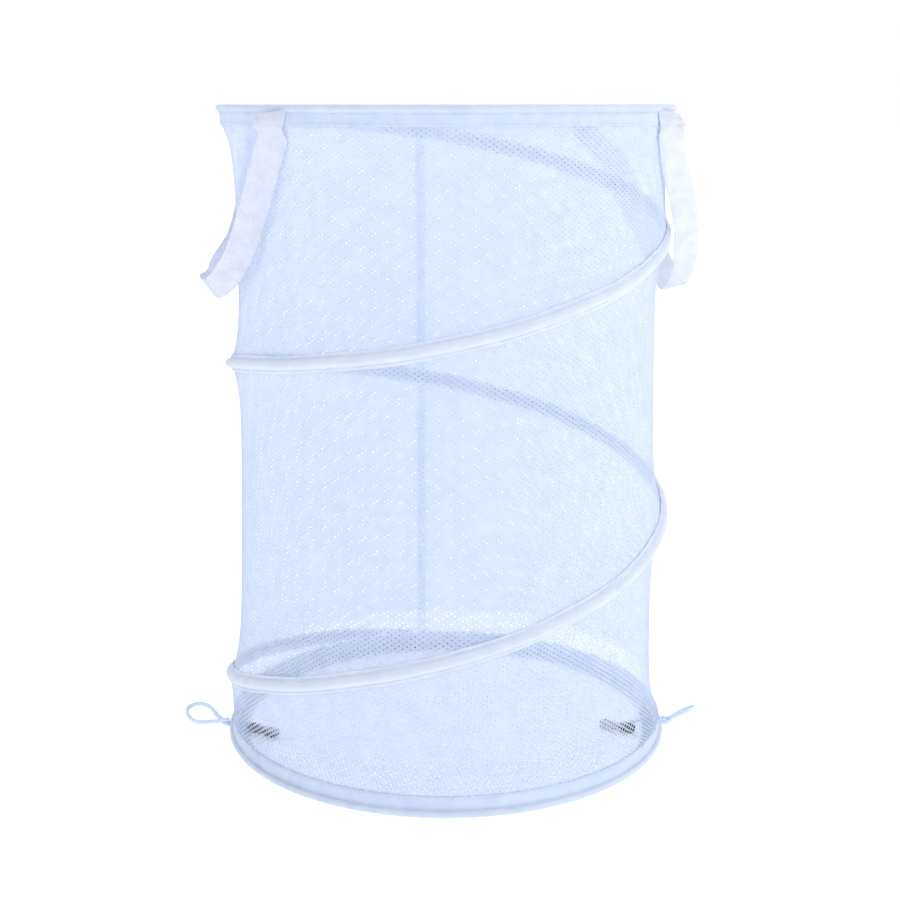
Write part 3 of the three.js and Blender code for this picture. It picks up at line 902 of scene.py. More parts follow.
@dataclass
class PhotoCamera:
    """The camera, at the photograph's place.

    Attributes:
        azimuth: the angle of view round the hamper.
        pitch: how far it looks down.
        distance: how far it is from the hamper's axis, on the level.
        height: its height above the floor.
        focal_pixels: the focal length in the photograph's pixels.
        frame_pixels: the photograph's width and height in pixels.
        centre: the pixel that the lens points at.
    """

    azimuth: float = -11.5
    pitch: float = 8.77
    distance: float = 1.4306
    height: float = 0.6
    focal_pixels: float = 1527.0
    frame_pixels: float = 900.0
    centre: tuple[float, float] = (446.0, 340.0)

    def build(self) -> Object:
        """Makes the camera and makes it the scene's.

        Returns:
            The camera.
        """
        data = bpy.data.cameras.new("photo_camera")
        data.sensor_fit = "AUTO"
        data.sensor_width = 36.0
        data.lens = self.focal_pixels / self.frame_pixels * data.sensor_width
        data.shift_x = (self.frame_pixels / 2 - self.centre[0]) / self.frame_pixels
        data.shift_y = (self.centre[1] - self.frame_pixels / 2) / self.frame_pixels
        data.clip_start, data.clip_end = 0.05, 50.0
        camera = bpy.data.objects.new("photo_camera", data)
        bpy.context.scene.collection.objects.link(camera)
        angle = math.radians(self.azimuth)
        camera.location = (
            self.distance * math.sin(angle), -self.distance * math.cos(angle), self.height,
        )
        camera.rotation_euler = (math.radians(90 - self.pitch), 0.0, angle)
        bpy.context.scene.camera = camera
        LOG.info("camera at azimuth %.1f", self.azimuth)
        return camera


@dataclass(frozen=True)
class SoftLight:
    """A large square light that faces the hamper, with its place, width and power in watts."""

    name: str
    place: tuple[float, float, float]
    size: float
    power: float

    def build(self) -> None:
        """Makes the light."""
        data = bpy.data.lights.new(self.name, "AREA")
        data.shape, data.size, data.energy = "SQUARE", self.size, self.power
        light = bpy.data.objects.new(self.name, data)
        bpy.context.scene.collection.objects.link(light)
        light.location = self.place
        aim = Vector((0, 0, SIZES.height / 2)) - Vector(self.place)
        light.rotation_mode = "QUATERNION"
        light.rotation_quaternion = aim.to_track_quat("-Z", "Y")


@dataclass
class Studio:
    """A pale floor and soft light.

    Attributes:
        floor_size: the floor's width.
        floor_drop: how far it lies below the hamper.
        floor_glow: how strongly the floor is lit from below, like a light table.
        sky: the strength of the light from all round.
        lights: the large soft lights.
    """

    floor_size: float = 60.0
    floor_drop: float = 0.0004
    floor_glow: float = 0.45
    sky: float = 1.01
    lights: tuple[SoftLight, ...] = (
        SoftLight("key_light", (2.2, -1.0, 1.8), 1.8, 20.0),
        SoftLight("left_light", (-2.2, -1.4, 1.8), 2.2, 1.0),
    )

    def build(self) -> None:
        """Makes the floor, the sky and the lights."""
        self.make_floor()
        self.make_sky()
        for light in self.lights:
            light.build()
        bpy.context.scene.view_settings.view_transform = "Standard"
        LOG.info("studio ready")

    def make_floor(self) -> None:
        """Makes the floor."""
        half = self.floor_size / 2
        corners = ((-half, -half), (half, -half), (half, half), (-half, half))
        points = np.array([(x, y, -self.floor_drop) for x, y in corners])
        floor = MeshMaker.from_arrays("studio_floor", points, np.arange(4)[None])
        graph = NodeGraph("studio_floor")
        graph.colour(graph.noise(3.0), (0.93, 0.93, 0.93), (0.95, 0.95, 0.95))
        graph.shade(Roughness=0.9, Specular_IOR_Level=0.1)
        graph.shade(Emission_Color=(1.0, 1.0, 1.0, 1.0), Emission_Strength=self.floor_glow)
        floor.data.materials.append(graph.material)

    def make_sky(self) -> None:
        """Makes the light from all round."""
        world = bpy.data.worlds.new("studio")
        world.use_nodes = True
        background = world.node_tree.nodes["Background"]
        background.inputs["Color"].default_value = (1.0, 1.0, 1.0, 1.0)
        background.inputs["Strength"].default_value = self.sky
        bpy.context.scene.world = world


class CordPath:
    """A smooth line through a list of points."""

    LEVELS = (((0, 1), (1, 2), (2, 3)), ((0, 2), (1, 3)), ((1, 2),))

    def __init__(self, points: Array, steps: int) -> None:
        """Args: points: the points to pass through. steps: how many steps the line has."""
        self.points = self.smooth(np.asarray(points, float), steps)
        self.lengths = path_lengths(self.points)

    @classmethod
    def smooth(cls, points: Array, steps: int) -> Array:
        """Lays a centripetal curve through points, by blending them in pairs of pairs.

        Args:
            points: the points to pass through.
            steps: how many steps the line has.

        Returns:
            The line's points.
        """
        knots = np.concatenate([
            [0.0], np.cumsum(np.linalg.norm(np.diff(points, axis=0), axis=1) ** 0.5),
        ])
        padded, knots = (
            np.concatenate([[2 * rows[0] - rows[1]], rows, [2 * rows[-1] - rows[-2]]])
            for rows in (points, knots)
        )
        made = []
        for place in np.linspace(knots[1], knots[-2], steps + 1):
            i = int(np.clip(np.searchsorted(knots, place, side="right") - 1, 1, len(points) - 1))
            times, rows = knots[i - 1:i + 3], padded[i - 1:i + 3]
            for level in cls.LEVELS:
                rows = [
                    ease(rows[k], rows[k + 1], (place - times[low]) / (times[high] - times[low]))
                    for k, (low, high) in enumerate(level)
                ]
            made.append(rows[0])
        return np.array(made)

    def tube(self, name: str, diameter: float, sides: int = 14) -> Object:
        """Makes a round cord along the line.

        Args:
            name: the piece's name.
            diameter: the cord's diameter.
            sides: how many sides it has.

        Returns:
            The cord.
        """
        along = unit(np.gradient(self.points, axis=0))
        side = unit(np.cross(along[0], UP))
        angle = even_angles(sides)
        rings = []
        for point, way in zip(self.points, along):
            side = square_to(side, way)
            round_it = np.cos(angle)[:, None] * side + np.sin(angle)[:, None] * np.cross(way, side)
            rings.append(point + diameter / 2 * round_it)
        uv = cloth_uv(self.lengths[:, None], angle * diameter / 2)
        return MeshMaker.tube(name, np.array(rings), uv)


@dataclass
class ClosureLoop:
    """An elastic loop outside the base, that goes round the folded hamper.

    Attributes:
        side: which side it is on.
        azimuth: where it leaves the base.
        reach: how far out its tip lies.
        drift: how far its tip lies to the side.
        roll: how its eye is turned about its length.
        rise: how far its tip rises.
        root_height: the height of its roots.
        root_run: how far it runs straight out first.
        out_shares: places along one side of its eye.
        side_spans: half the eye's width there, in millimetres.
    """

    side: Side
    azimuth: float
    reach: float
    drift: float
    roll: float
    rise: float = 0.008
    diameter: float = 0.0042
    root_height: float = 0.0048
    root_run: float = 0.005
    out_shares: tuple[float, ...] = (0, 0.13, 0.26, 0.37, 0.5, 0.64, 0.79, 0.92, 0.985)
    side_spans: tuple[float, ...] = (2.3, 2.3, 2.7, 4.8, 8.2, 10.6, 10.2, 6.8, 2.9)

    def route(self) -> Array:
        """Lays the loop's route.

        Returns:
            The points that it passes through, from its upper root to its lower one.
        """
        outward, sideways = around(self.azimuth, 1.0, 0.0), around(self.azimuth + 90, 1.0, 0.0)
        root = SIZES.hoop_radius + SIZES.tube_radius + SIZES.gap
        start = outward * root + UP * self.root_height
        aside = sideways * self.drift + UP * self.rise
        way = unit(outward * self.reach + aside)
        level = unit(np.cross(UP, way))
        turn = math.radians(self.roll)
        across = level * math.cos(turn) + np.cross(way, level) * math.sin(turn)
        length = self.reach - self.diameter / 2
        half = [
            (share * length, span * MM)
            for share, span in zip(self.out_shares, self.side_spans)
        ]
        points = []
        for out, span in half + [(length, 0.0)] + [(out, -span) for out, span in reversed(half)]:
            bent = max(out - self.root_run, 0.0) / (self.reach - self.root_run)
            axis = unit(ease(UP, across, smoothstep(out, 0.0, length / 3)))
            points.append(start + outward * out + aside * bent + axis * span)
        return np.array(points)

    def build(self) -> Object:
        """Returns:
            The loop.
        """
        path = CordPath(self.route(), 150)
        name = f"elastic_loop_{self.side.value}"
        obj = path.tube(name, self.diameter)
        dress(obj, FINISHES.braid, f"{self.side.value}_loop", f"closure_loop_{self.side.value}")
        LOG.info("%s: %.0f mm of cord", name, path.lengths[-1] / MM)
        return obj


@dataclass
class Toggle:
    """A toggle on the floor inside, with the short cord that ties it to the base.

    Attributes:
        side: which side it is on.
        azimuth: where its middle lies.
        radius: how far from the axis its middle lies.
        turn: the direction of its length.
        cord_points: the points of its cord, in millimetres, as in the solid model.
        neck_half: how far from its middle its groove begins.
    """

    side: Side
    azimuth: float
    radius: float
    turn: float
    cord_points: tuple[tuple[float, float, float], ...]
    length: float = 0.036
    width: float = 0.01
    waist: float = 0.0064
    neck_half: float = 0.0052
    axis_height: float = 0.0063
    cord_diameter: float = 0.003
    end_round: float = 0.75
    body_start: float = 0.9
    seam_height: float = 0.02
    seam_width: float = 0.07
    sides: int = 40

    def profile(self) -> Array:
        """Lays the barrel's outline from one end to the other.

        Returns:
            Places along the barrel, and the radii there.
        """
        half, thick, groove = self.length / 2, self.width / 2, self.waist / 2
        start = half - thick * self.body_start
        ends = [
            (half - thick * self.end_round * (1 - math.cos(a)), thick * math.sin(a))
            for a in np.linspace(0.02, math.pi / 2, 9)
        ]
        body = [
            (start - share * (start - self.neck_half), thick) for share in np.linspace(0.2, 1, 6)
        ]
        neck = [
            (0.0044, thick * 0.985), (0.0038, thick * 0.93), (0.0033, groove + 0.0009),
            (0.0028, groove + 0.0002), (0.0018, groove), (0.0006, groove),
        ]
        outline = np.array(ends + body + neck)
        return np.concatenate([outline * (-1, 1), outline[::-1]])

    def barrel(self) -> Object:
        """Makes the barrel, with a parting line along each side.

        Returns:
            The barrel.
        """
        angle = even_angles(self.sides)[:, None]
        along, side = around(self.turn, 1.0, 0.0), around(self.turn + 90, 1.0, 0.0)
        centre = around(self.azimuth, self.radius, self.axis_height)
        from_seam = np.mod(angle + np.pi / 2, np.pi) - np.pi / 2
        seam = 1 + self.seam_height * np.exp(-(from_seam / self.seam_width) ** 2)
        places, radii = self.profile().T[:, :, None, None]
        rings = centre + along * places + radii * seam * (np.cos(angle) * side + np.sin(angle) * UP)
        uv = cloth_uv(places[..., 0], angle.T * self.width / 2)
        obj = MeshMaker.tube(f"toggle_barrel_{self.side.value}", rings, uv)
        body = f"{self.side.value}_toggle"
        return dress(obj, FINISHES.plastic, body, f"toggle_{self.side.value}")

    def build(self) -> None:
        """Makes the barrel and its cord."""
        path = CordPath(np.array(self.cord_points) * MM, 90)
        name = f"toggle_tie_{self.side.value}"
        tie = path.tube(name, self.cord_diameter)
        dress(tie, FINISHES.braid, f"{self.side.value}_toggle", f"toggle_cord_{self.side.value}")
        barrel = self.barrel()
        LOG.info("%s: %.0f mm of cord", name, path.lengths[-1] / MM)


@dataclass
class MeshWall:
    """The knitted mesh of the wall.

    Attributes:
        columns: how many holes lie round the wall.
        cell_height: the height of one hole with its thread.
        hole_share: how much of a cell's width its hole takes.
        open_share: the same near the base, where the mesh is stretched.
        open_heights: the heights between which the one becomes the other.
        crown: how far the thread's middle stands out of its edges.
        unevenness: how far a crossing strays, as a share of a cell.
        low: the height of the mesh's lower edge.
        high: the height of its upper edge.
    """

    columns: int = 185
    cell_height: float = 0.0044
    hole_share: float = 0.32
    open_share: float = 0.64
    open_heights: tuple[float, float] = (0.04, 0.05)
    crown: float = 0.0002
    unevenness: float = 0.09
    low: float = 0.0075
    high: float = 0.5925
    seed: int = 7

    def build(self) -> None:
        """Makes a panel of mesh for each stretch of wall between windings."""
        rows = int(round((self.high - self.low) / (self.cell_height / 2)))
        grids = np.meshgrid(np.arange(1, rows), np.arange(self.columns), indexing="ij")
        row, column = (grid.ravel() for grid in grids)
        azimuth = (column + 0.5 * (row % 2)) * 360.0 / self.columns
        panels = WALL.panel(azimuth, self.low + row * self.cell_height / 2)
        strays = np.random.default_rng(self.seed).uniform(-1, 1, (rows + 1, 2 * self.columns, 2))
        for panel in np.unique(panels):
            chosen = panels == panel
            self.make_panel(panel, row[chosen], column[chosen], strays)

    def make_panel(self, panel: int, row: Array, column: Array, strays: Array) -> None:
        """Makes one panel.

        Args:
            panel: the panel's number.
            row: each cell's row.
            column: each cell's column.
            strays: how far each crossing strays.
        """
        half_column = (2 * column + row % 2)[:, None]
        corner_row = row[:, None] + np.array([0, -1, 0, 1])
        corner_column = np.mod(half_column + np.array([-1, 0, 1, 0]), 2 * self.columns)
        stray = strays[corner_row, corner_column] * self.unevenness
        width = 360.0 / self.columns
        middle = half_column * width / 2
        azimuth = corner_column * width / 2 + stray[..., 0] * width
        azimuth = middle + np.mod(azimuth - middle + 180, 360) - 180
        height = self.low + corner_row * self.cell_height / 2 + stray[..., 1] * self.cell_height
        middle_azimuth, middle_height = (
            corners.mean(axis=1, keepdims=True) for corners in (azimuth, height)
        )
        closed = smoothstep(middle_height, *self.open_heights)
        share = ease(self.open_share, self.hole_share, closed)
        hole_azimuth = ease(middle_azimuth, azimuth, share)
        hole_height = ease(middle_height, height, share)
        outer = around(azimuth, WALL.radius(azimuth, height) + self.crown, height)
        hole_radius = WALL.radius(hole_azimuth, hole_height) - self.crown
        inner = around(hole_azimuth, hole_radius, hole_height)
        keys = corner_row.ravel() * 2 * self.columns + corner_column.ravel()
        _, first, number = np.unique(keys, return_index=True, return_inverse=True)
        outer_index = number.reshape(-1, 4)
        inner_index = len(first) + np.arange(len(row) * 4).reshape(-1, 4)
        outer_next, inner_next = (
            np.roll(index, -1, axis=1) for index in (outer_index, inner_index)
        )
        quads = np.stack([outer_index, outer_next, inner_next, inner_index], axis=-1).reshape(-1, 4)
        points = np.concatenate([outer.reshape(-1, 3)[first], inner.reshape(-1, 3)])
        across, up = (
            np.concatenate([corners.ravel()[first], holes.ravel()])
            for corners, holes in ((azimuth, hole_azimuth), (height, hole_height))
        )
        name = f"mesh_panel_{panel + 1}"
        uv = cloth_uv(np.radians(across) * SIZES.wall_radius, up)
        obj = MeshMaker.from_arrays(name, points, quads, uv)
        dress(obj, FINISHES.knit, "base", "mesh_wall")
        squash_wall(obj)
        LOG.info("%s: %d holes", name, len(row))


@dataclass
class MeshFloor:
    """The knitted mesh of the floor, flat on the ground.

    Attributes:
        cell: the width and height of one hole with its thread.
        hole_share: how much of a cell its hole takes.
        radius: the floor's radius.
        height: the height of the mesh.
        crown: how far the thread's middle stands out of its edges.
        join: how near two cells' corners are to be joined.
    """

    cell: tuple[float, float] = (0.007, 0.0044)
    hole_share: float = 0.36
    radius: float = 0.2035
    height: float = 0.0006
    crown: float = 0.00025
    join: float = 0.00002

    def build(self) -> Object:
        """Makes the knit, cell by cell.

        Returns:
            The floor's mesh.
        """
        width, height = self.cell
        rows, columns = int(self.radius / (height / 2)) + 1, int(self.radius / width) + 1
        row, column = np.meshgrid(
            np.arange(-rows, rows + 1), np.arange(-columns, columns + 1), indexing="ij",
        )
        centres = cloth_uv((column + 0.5 * (row % 2)) * width, row * height / 2).reshape(-1, 2)
        inside = np.hypot(np.abs(centres[:, 0]) + width / 2, centres[:, 1]) < self.radius
        steps = np.array([[-width / 2, 0], [0, -height / 2], [width / 2, 0], [0, height / 2]])
        corners = [
            (centres[inside][:, None] + steps * share).reshape(-1, 2)
            for share in (1, self.hole_share)
        ]
        count = len(corners[0])
        flat = np.concatenate(corners)
        level = np.repeat([self.height + self.crown, self.height - self.crown], count)
        index = np.arange(count).reshape(-1, 4)
        following = np.roll(index, -1, axis=1)
        loops = [index, following, following + count, index + count]
        quads = np.stack(loops, axis=-1).reshape(-1, 4)
        obj = MeshMaker.from_arrays("mesh_floor", np.column_stack([flat, level]), quads, flat)
        MeshMaker.weld(obj, self.join)
        LOG.info("mesh_floor: %d holes", count // 4)
        # The floor's thread takes a lighter colour than the wall's: painted light on the shade
        # inside the wall.
        return dress(obj, FINISHES.floor_knit, "base", "floor_mesh")


@dataclass
class HoopBand:
    """The tape folded over a hoop, with the rows of stitches that hold it.

    Attributes:
        level: which hoop it covers.
        pucker: the height of the small waves of its edge.
        outer_leg: its outline on the outer leg, in millimetres out from the face and below the top.
        inner_leg: the same on the inner leg.
        rows: how far each row of stitches lies below the tube, or above the tape's edge.
    """

    level: Level
    pucker: float = 0.00035
    outer_leg: tuple[tuple[float, float], ...] = (
        (1.3, 6.08), (0.8, 7.04), (0.5, 9), (0, 13.5),
        (-0.3, 16.2), (-0.5, 17.9), (-0.7, 18), (-1, 17.7),
    )
    inner_leg: tuple[tuple[float, float], ...] = (
        (0.9, 17.7), (0.4, 18), (0, 17.9), (0, 10.8), (0, 5.4),
    )
    rows: tuple[float, float] = (0.0012, 0.0022)

    def section(self) -> Array:
        """Lays the tape's outline, over the tube and down both legs.

        Returns:
            Distances from the axis and below the hoop's top.
        """
        tube = SIZES.tube_radius
        angles = np.linspace(math.pi, -math.pi / 2 + 0.32, 22)
        outline = [
            (SIZES.hoop_radius + tube * math.cos(a), tube - tube * math.sin(a)) for a in angles
        ]
        faces = SIZES.band_outer_radius, SIZES.band_inner_radius
        for face, leg in zip(faces, (self.outer_leg, self.inner_leg)):
            outline += [(face + out * MM, below * MM) for out, below in leg]
        return np.array(outline)

    def height(self, below: Array) -> Array:
        """Args: below: distances from the hoop's outer edge. Returns: heights above the floor."""
        return SIZES.height - below if self.level is Level.RIM else below

    def wave(self, azimuth: Array, below: Number) -> Array:
        """Args: azimuth: angles. below: distances from the outer edge. Returns: the puckers."""
        wave = ripple(azimuth, 1.0, 360 / 96) + ripple(azimuth, 0.6, 360 / 61, 1.0)
        return self.pucker * wave * smoothstep(below, SIZES.tube_radius * 2, SIZES.band_height)

    def build(self) -> None:
        """Makes the tape and its stitches."""
        section = self.section()
        azimuth = even_angles(384, 360.0)[:, None]
        out, below = section[:, 0], section[:, 1]
        rings = around(azimuth, out + self.wave(azimuth, below), self.height(below))
        uv = cloth_uv(np.radians(azimuth) * SIZES.hoop_radius, path_lengths(section))
        body = self.level.value
        obj = MeshMaker.tube(f"{body}_band", rings, uv, join_ends=True)
        dress(obj, FINISHES.tape, body, f"{body}_binding")
        self.stitch(body)
        LOG.info("%s band ready", body)

    def stitch(self, body: str) -> None:
        """Sews two rows of stitches on each leg of the tape.

        Args:
            body: the body that the stitches ride on.
        """
        run = StitchRun(f"{body}_band_stitches")
        azimuth = np.linspace(0, 360, 721)
        out = around(azimuth, 1.0, 0.0)
        for below in (SIZES.tube_radius * 2 + self.rows[0], SIZES.band_height - self.rows[1]):
            share = float(smoothstep(below, SIZES.tube_radius * 2, SIZES.band_height))
            wave = self.wave(azimuth, below)
            height = self.height(np.full_like(azimuth, below))
            outer = SIZES.band_outer_radius + 0.0008 - 0.0011 * share + wave
            run.add(around(azimuth, outer, height), out)
            run.add(around(azimuth, SIZES.band_inner_radius - 0.0001 + wave, height), -out)
        run.finish(body)


@dataclass
class SpiralCasing:
    """The tape that holds the spiral wire against the mesh, and the wire in it.

    Attributes:
        width: the tape's width.
        ridge: the width of the ridge over the wire.
        proud: how far the ridge stands over the wire's middle.
        thickness: the tape's thickness.
        gap: how far it stands off the mesh.
        clearance: how far it keeps from the hoops' tapes.
        least_width: the least width at which it shows.
        wire_margin: how far the wire keeps from the hoops' tapes.
        stitch_margin: how far the stitches keep from them.
        stitch_place: how far the stitches lie beside the ridge.
    """

    width: float = 0.0158
    ridge: float = 0.0082
    proud: float = 0.0026
    thickness: float = 0.0006
    gap: float = 0.0006
    clearance: float = 0.001
    least_width: float = 0.002
    wire_margin: float = 0.0045
    stitch_margin: float = 0.0015
    stitch_place: float = 0.0014

    @staticmethod
    def room(height: Array) -> Array:
        """Args: height: heights. Returns: how far they are from the nearer hoop's tape."""
        return np.minimum(height - SIZES.band_height, SIZES.rim_edge - height)

    def span(self, points: Array, up: Array) -> tuple[Array, Array]:
        """Finds how far the tape reaches below and above the wire, clear of the hoops' tapes.

        Args:
            points: the wire's middle, one row each.
            up: the direction up across the tape there.

        Returns:
            The lowest and the highest place across the tape, from the wire.
        """
        low = (SIZES.band_height + self.clearance - points[:, 2]) / up[:, 2]
        high = (SIZES.rim_edge - self.clearance - points[:, 2]) / up[:, 2]
        return np.maximum(low, -self.width / 2), np.minimum(high, self.width / 2)

    def swell(self, rise: Array, height: Array) -> Array:
        """Finds the ridge over the wire, which sinks where the wire goes in behind a hoop's tape.

        Args:
            rise: places across the tape.
            height: the heights there.

        Returns:
            How far the tape swells, from 0 to 1.
        """
        inside = np.clip(np.abs(rise) / (self.ridge / 2), 0, 1)
        shown = smoothstep(self.room(height), self.clearance, self.clearance * 4)
        return np.sqrt(1 - inside ** 2) * shown

    def face(self, points: Array, rise: Array, swell: Number) -> Array:
        """Lays the tape on the mesh, with its ridge over the wire.

        Args:
            points: the wire's middle, one row each.
            rise: the upward place of each point across the tape.
            swell: how far the ridge swells there.

        Returns:
            How far each point of the tape's outer face stands out from the wire's middle.
        """
        azimuth = np.degrees(np.arctan2(points[:, 1], points[:, 0]))[:, None]
        wire = np.hypot(points[:, 0], points[:, 1])[:, None]
        surface = WALL.radius(azimuth, points[:, 2:3] + rise) + self.gap + self.thickness
        margin = np.minimum(surface, wire)
        return margin + (wire + self.proud - margin) * swell - wire

    def limits(self) -> tuple[float, float]:
        """Finds where the tape comes out from behind the hoops' tapes.

        Returns:
            The turns between which it shows, from the rim's tape to the base's.
        """
        turns = np.linspace(-0.1, SPIRAL.turns + 0.1, 4000)
        height = SPIRAL.height(turns)
        first = np.argmax(height < SIZES.rim_edge + self.width / 2)
        last = np.argmax(height[::-1] > SIZES.band_height - self.width / 2)
        return float(turns[first]), float(turns[::-1][last])

    def build(self) -> None:
        """Makes the tape, its stitches and the wire."""
        limits = self.limits()
        points, outward, up = SPIRAL.frame(np.linspace(*limits, 900))
        lengths = path_lengths(points)
        low, high = self.span(points, up)
        kept = high - low > self.least_width
        points, outward, up, lengths, low, high = (
            rows[kept] for rows in (points, outward, up, lengths, low, high)
        )
        across = low[:, None] + (high - low)[:, None] * np.linspace(0, 1, 45)
        edge = (np.abs(across) / (self.width / 2)) ** 3
        waves = ripple(lengths, 0.0003, 0.021) + ripple(lengths, 0.0002, 0.0083, 1)
        sway = ripple(lengths, 0.0004, 0.11, 0.5)
        rise = across * (1 + ripple(lengths, 0.02, 0.047))[:, None] + sway[:, None]
        swell = self.swell(across, points[:, 2:3] + across * up[:, 2:3])
        out = self.face(points, rise * up[:, 2:3], swell) + waves[:, None] * edge
        front = points[:, None] + rise[..., None] * up[:, None] + out[..., None] * outward[:, None]
        back = front - self.thickness * outward[:, None]
        rings = np.concatenate([front, back[:, ::-1]], axis=1)
        girth = np.concatenate([across, across[:, ::-1] + 2 * self.width], axis=1)
        obj = MeshMaker.tube("casing_tape", rings, cloth_uv(lengths[:, None], girth))
        # The casing takes the lighter tape: painted light that lifts the shade on its inner turns.
        dress(obj, FINISHES.painted_light_tape, "base", "spiral_casing")
        squash_wall(obj)
        self.stitch(points, outward, up)
        self.wire(limits)
        LOG.info("casing: %.2f m of tape", lengths[-1])

    def stitch(self, points: Array, outward: Array, up: Array) -> None:
        """Sews the tape along both sides of its ridge.

        Args:
            points: the wire's middle.
            outward: the direction outward there.
            up: the direction up across the tape there.
        """
        run = StitchRun("casing_stitches")
        place = self.ridge / 2 + self.stitch_place
        for rise in (-place, place):
            out = self.face(points, rise * up[:, 2:3], 0.0) + 0.0001
            line = points + outward * out + up * rise
            shown = self.room(line[:, 2]) > self.stitch_margin
            run.add(line[shown], outward[shown])
        squash_wall(run.finish("base"))

    def wire(self, limits: tuple[float, float]) -> None:
        """Makes the spiral wire.

        Args:
            limits: the turns where the wire starts and ends.
        """
        points, outward, up = SPIRAL.frame(np.linspace(*limits, 700))
        shown = self.room(points[:, 2]) > self.wire_margin
        points, outward, up = (rows[shown][:, None] for rows in (points, outward, up))
        angle = even_angles(10)[:, None]
        rings = points + SIZES.wire_radius * (np.cos(angle) * outward + np.sin(angle) * up)
        uv = cloth_uv(np.arange(len(points))[:, None] * 0.004, angle.T * SIZES.wire_radius)
        obj = MeshMaker.tube("spiral_spring", rings, uv)
        dress(obj, FINISHES.steel, "base", "spiral_wire")
        squash_wall(obj)


@dataclass
class FlatTape:
    """The flat tapes inside: over the wall's seam, and round the edge of the floor.

    Attributes:
        seam_stitches: the rows of stitches, as shares of the seam tape's half width.
        floor_outline: the floor tape's outline, as distances in from its outer edge and heights.
        floor_girth: the distance round the outline to each of its points.
    """

    seam_azimuth: float = 86.25
    seam_width: float = 0.0095
    seam_gap: float = 0.0008
    seam_stitches: tuple[float, float] = (-0.7, 0.7)
    floor_outer: float = 0.2042
    floor_outline: tuple[tuple[float, float], ...] = (
        (0, 0.0013), (0, 0.0019), (0.0117, 0.0019), (0.012, 0.0016), (0.0118, 0.0013),
    )
    floor_girth: tuple[float, ...] = (0.0, 0.0006, 0.0123, 0.0127, 0.0131)
    thickness: float = 0.0006

    def build(self) -> None:
        """Makes both tapes with their stitches."""
        self.seam()
        self.floor()

    def seam(self) -> None:
        """Makes the upright tape inside the wall."""
        heights = np.linspace(SIZES.band_height + 0.0005, SIZES.rim_edge - 0.0005, 260)
        shares = np.linspace(-1, 1, 9)
        spread = math.degrees(self.seam_width / 2 / SIZES.wall_radius)
        azimuth = self.seam_azimuth + spread * shares
        wave = ripple(heights, 0.0002, 0.013)[:, None] * shares ** 2
        radius = WALL.radius(azimuth, heights[:, None]) - self.seam_gap + wave
        front, back = (
            around(azimuth, radius - depth, heights[:, None]) for depth in (0, self.thickness)
        )
        girth = np.concatenate([shares, shares[::-1] + 2]) * self.seam_width / 2
        rings = np.concatenate([front, back[:, ::-1]], axis=1)
        obj = MeshMaker.tube("seam_tape", rings, cloth_uv(heights[:, None], girth))
        # The seam's tape takes a lighter colour than the hoops' tape: painted light on the shade
        # inside the wall.
        dress(obj, FINISHES.seam_tape, "base", "back_seam_tape")
        squash_wall(obj)
        run = StitchRun("seam_stitches")
        for share in self.seam_stitches:
            at = np.full_like(heights, self.seam_azimuth + spread * share)
            inner = WALL.radius(at, heights) - self.seam_gap - self.thickness - 0.0001
            run.add(around(at, inner, heights), -around(at, 1.0, 0.0))
        squash_wall(run.finish("base"))

    def floor(self) -> None:
        """Makes the flat ring of tape on the edge of the floor."""
        azimuth = even_angles(240, 360.0)[:, None]
        inward, height = np.array(self.floor_outline).T
        wave = ripple(azimuth, 0.0003, 360 / 47) * (inward > 0)
        rings = around(azimuth, self.floor_outer - inward + wave, height)
        uv = cloth_uv(np.radians(azimuth) * SIZES.hoop_radius, np.array(self.floor_girth))
        obj = MeshMaker.tube("floor_edge_tape", rings, uv, join_ends=True)
        dress(obj, FINISHES.tape, "base", "floor_seam_tape")
        run = StitchRun("floor_edge_stitches")
        path = around(np.linspace(0, 360, 481), self.floor_outer - inward.max() + 0.002, 0.00195)
        run.add(path, np.broadcast_to(UP, path.shape))
        run.finish("base")


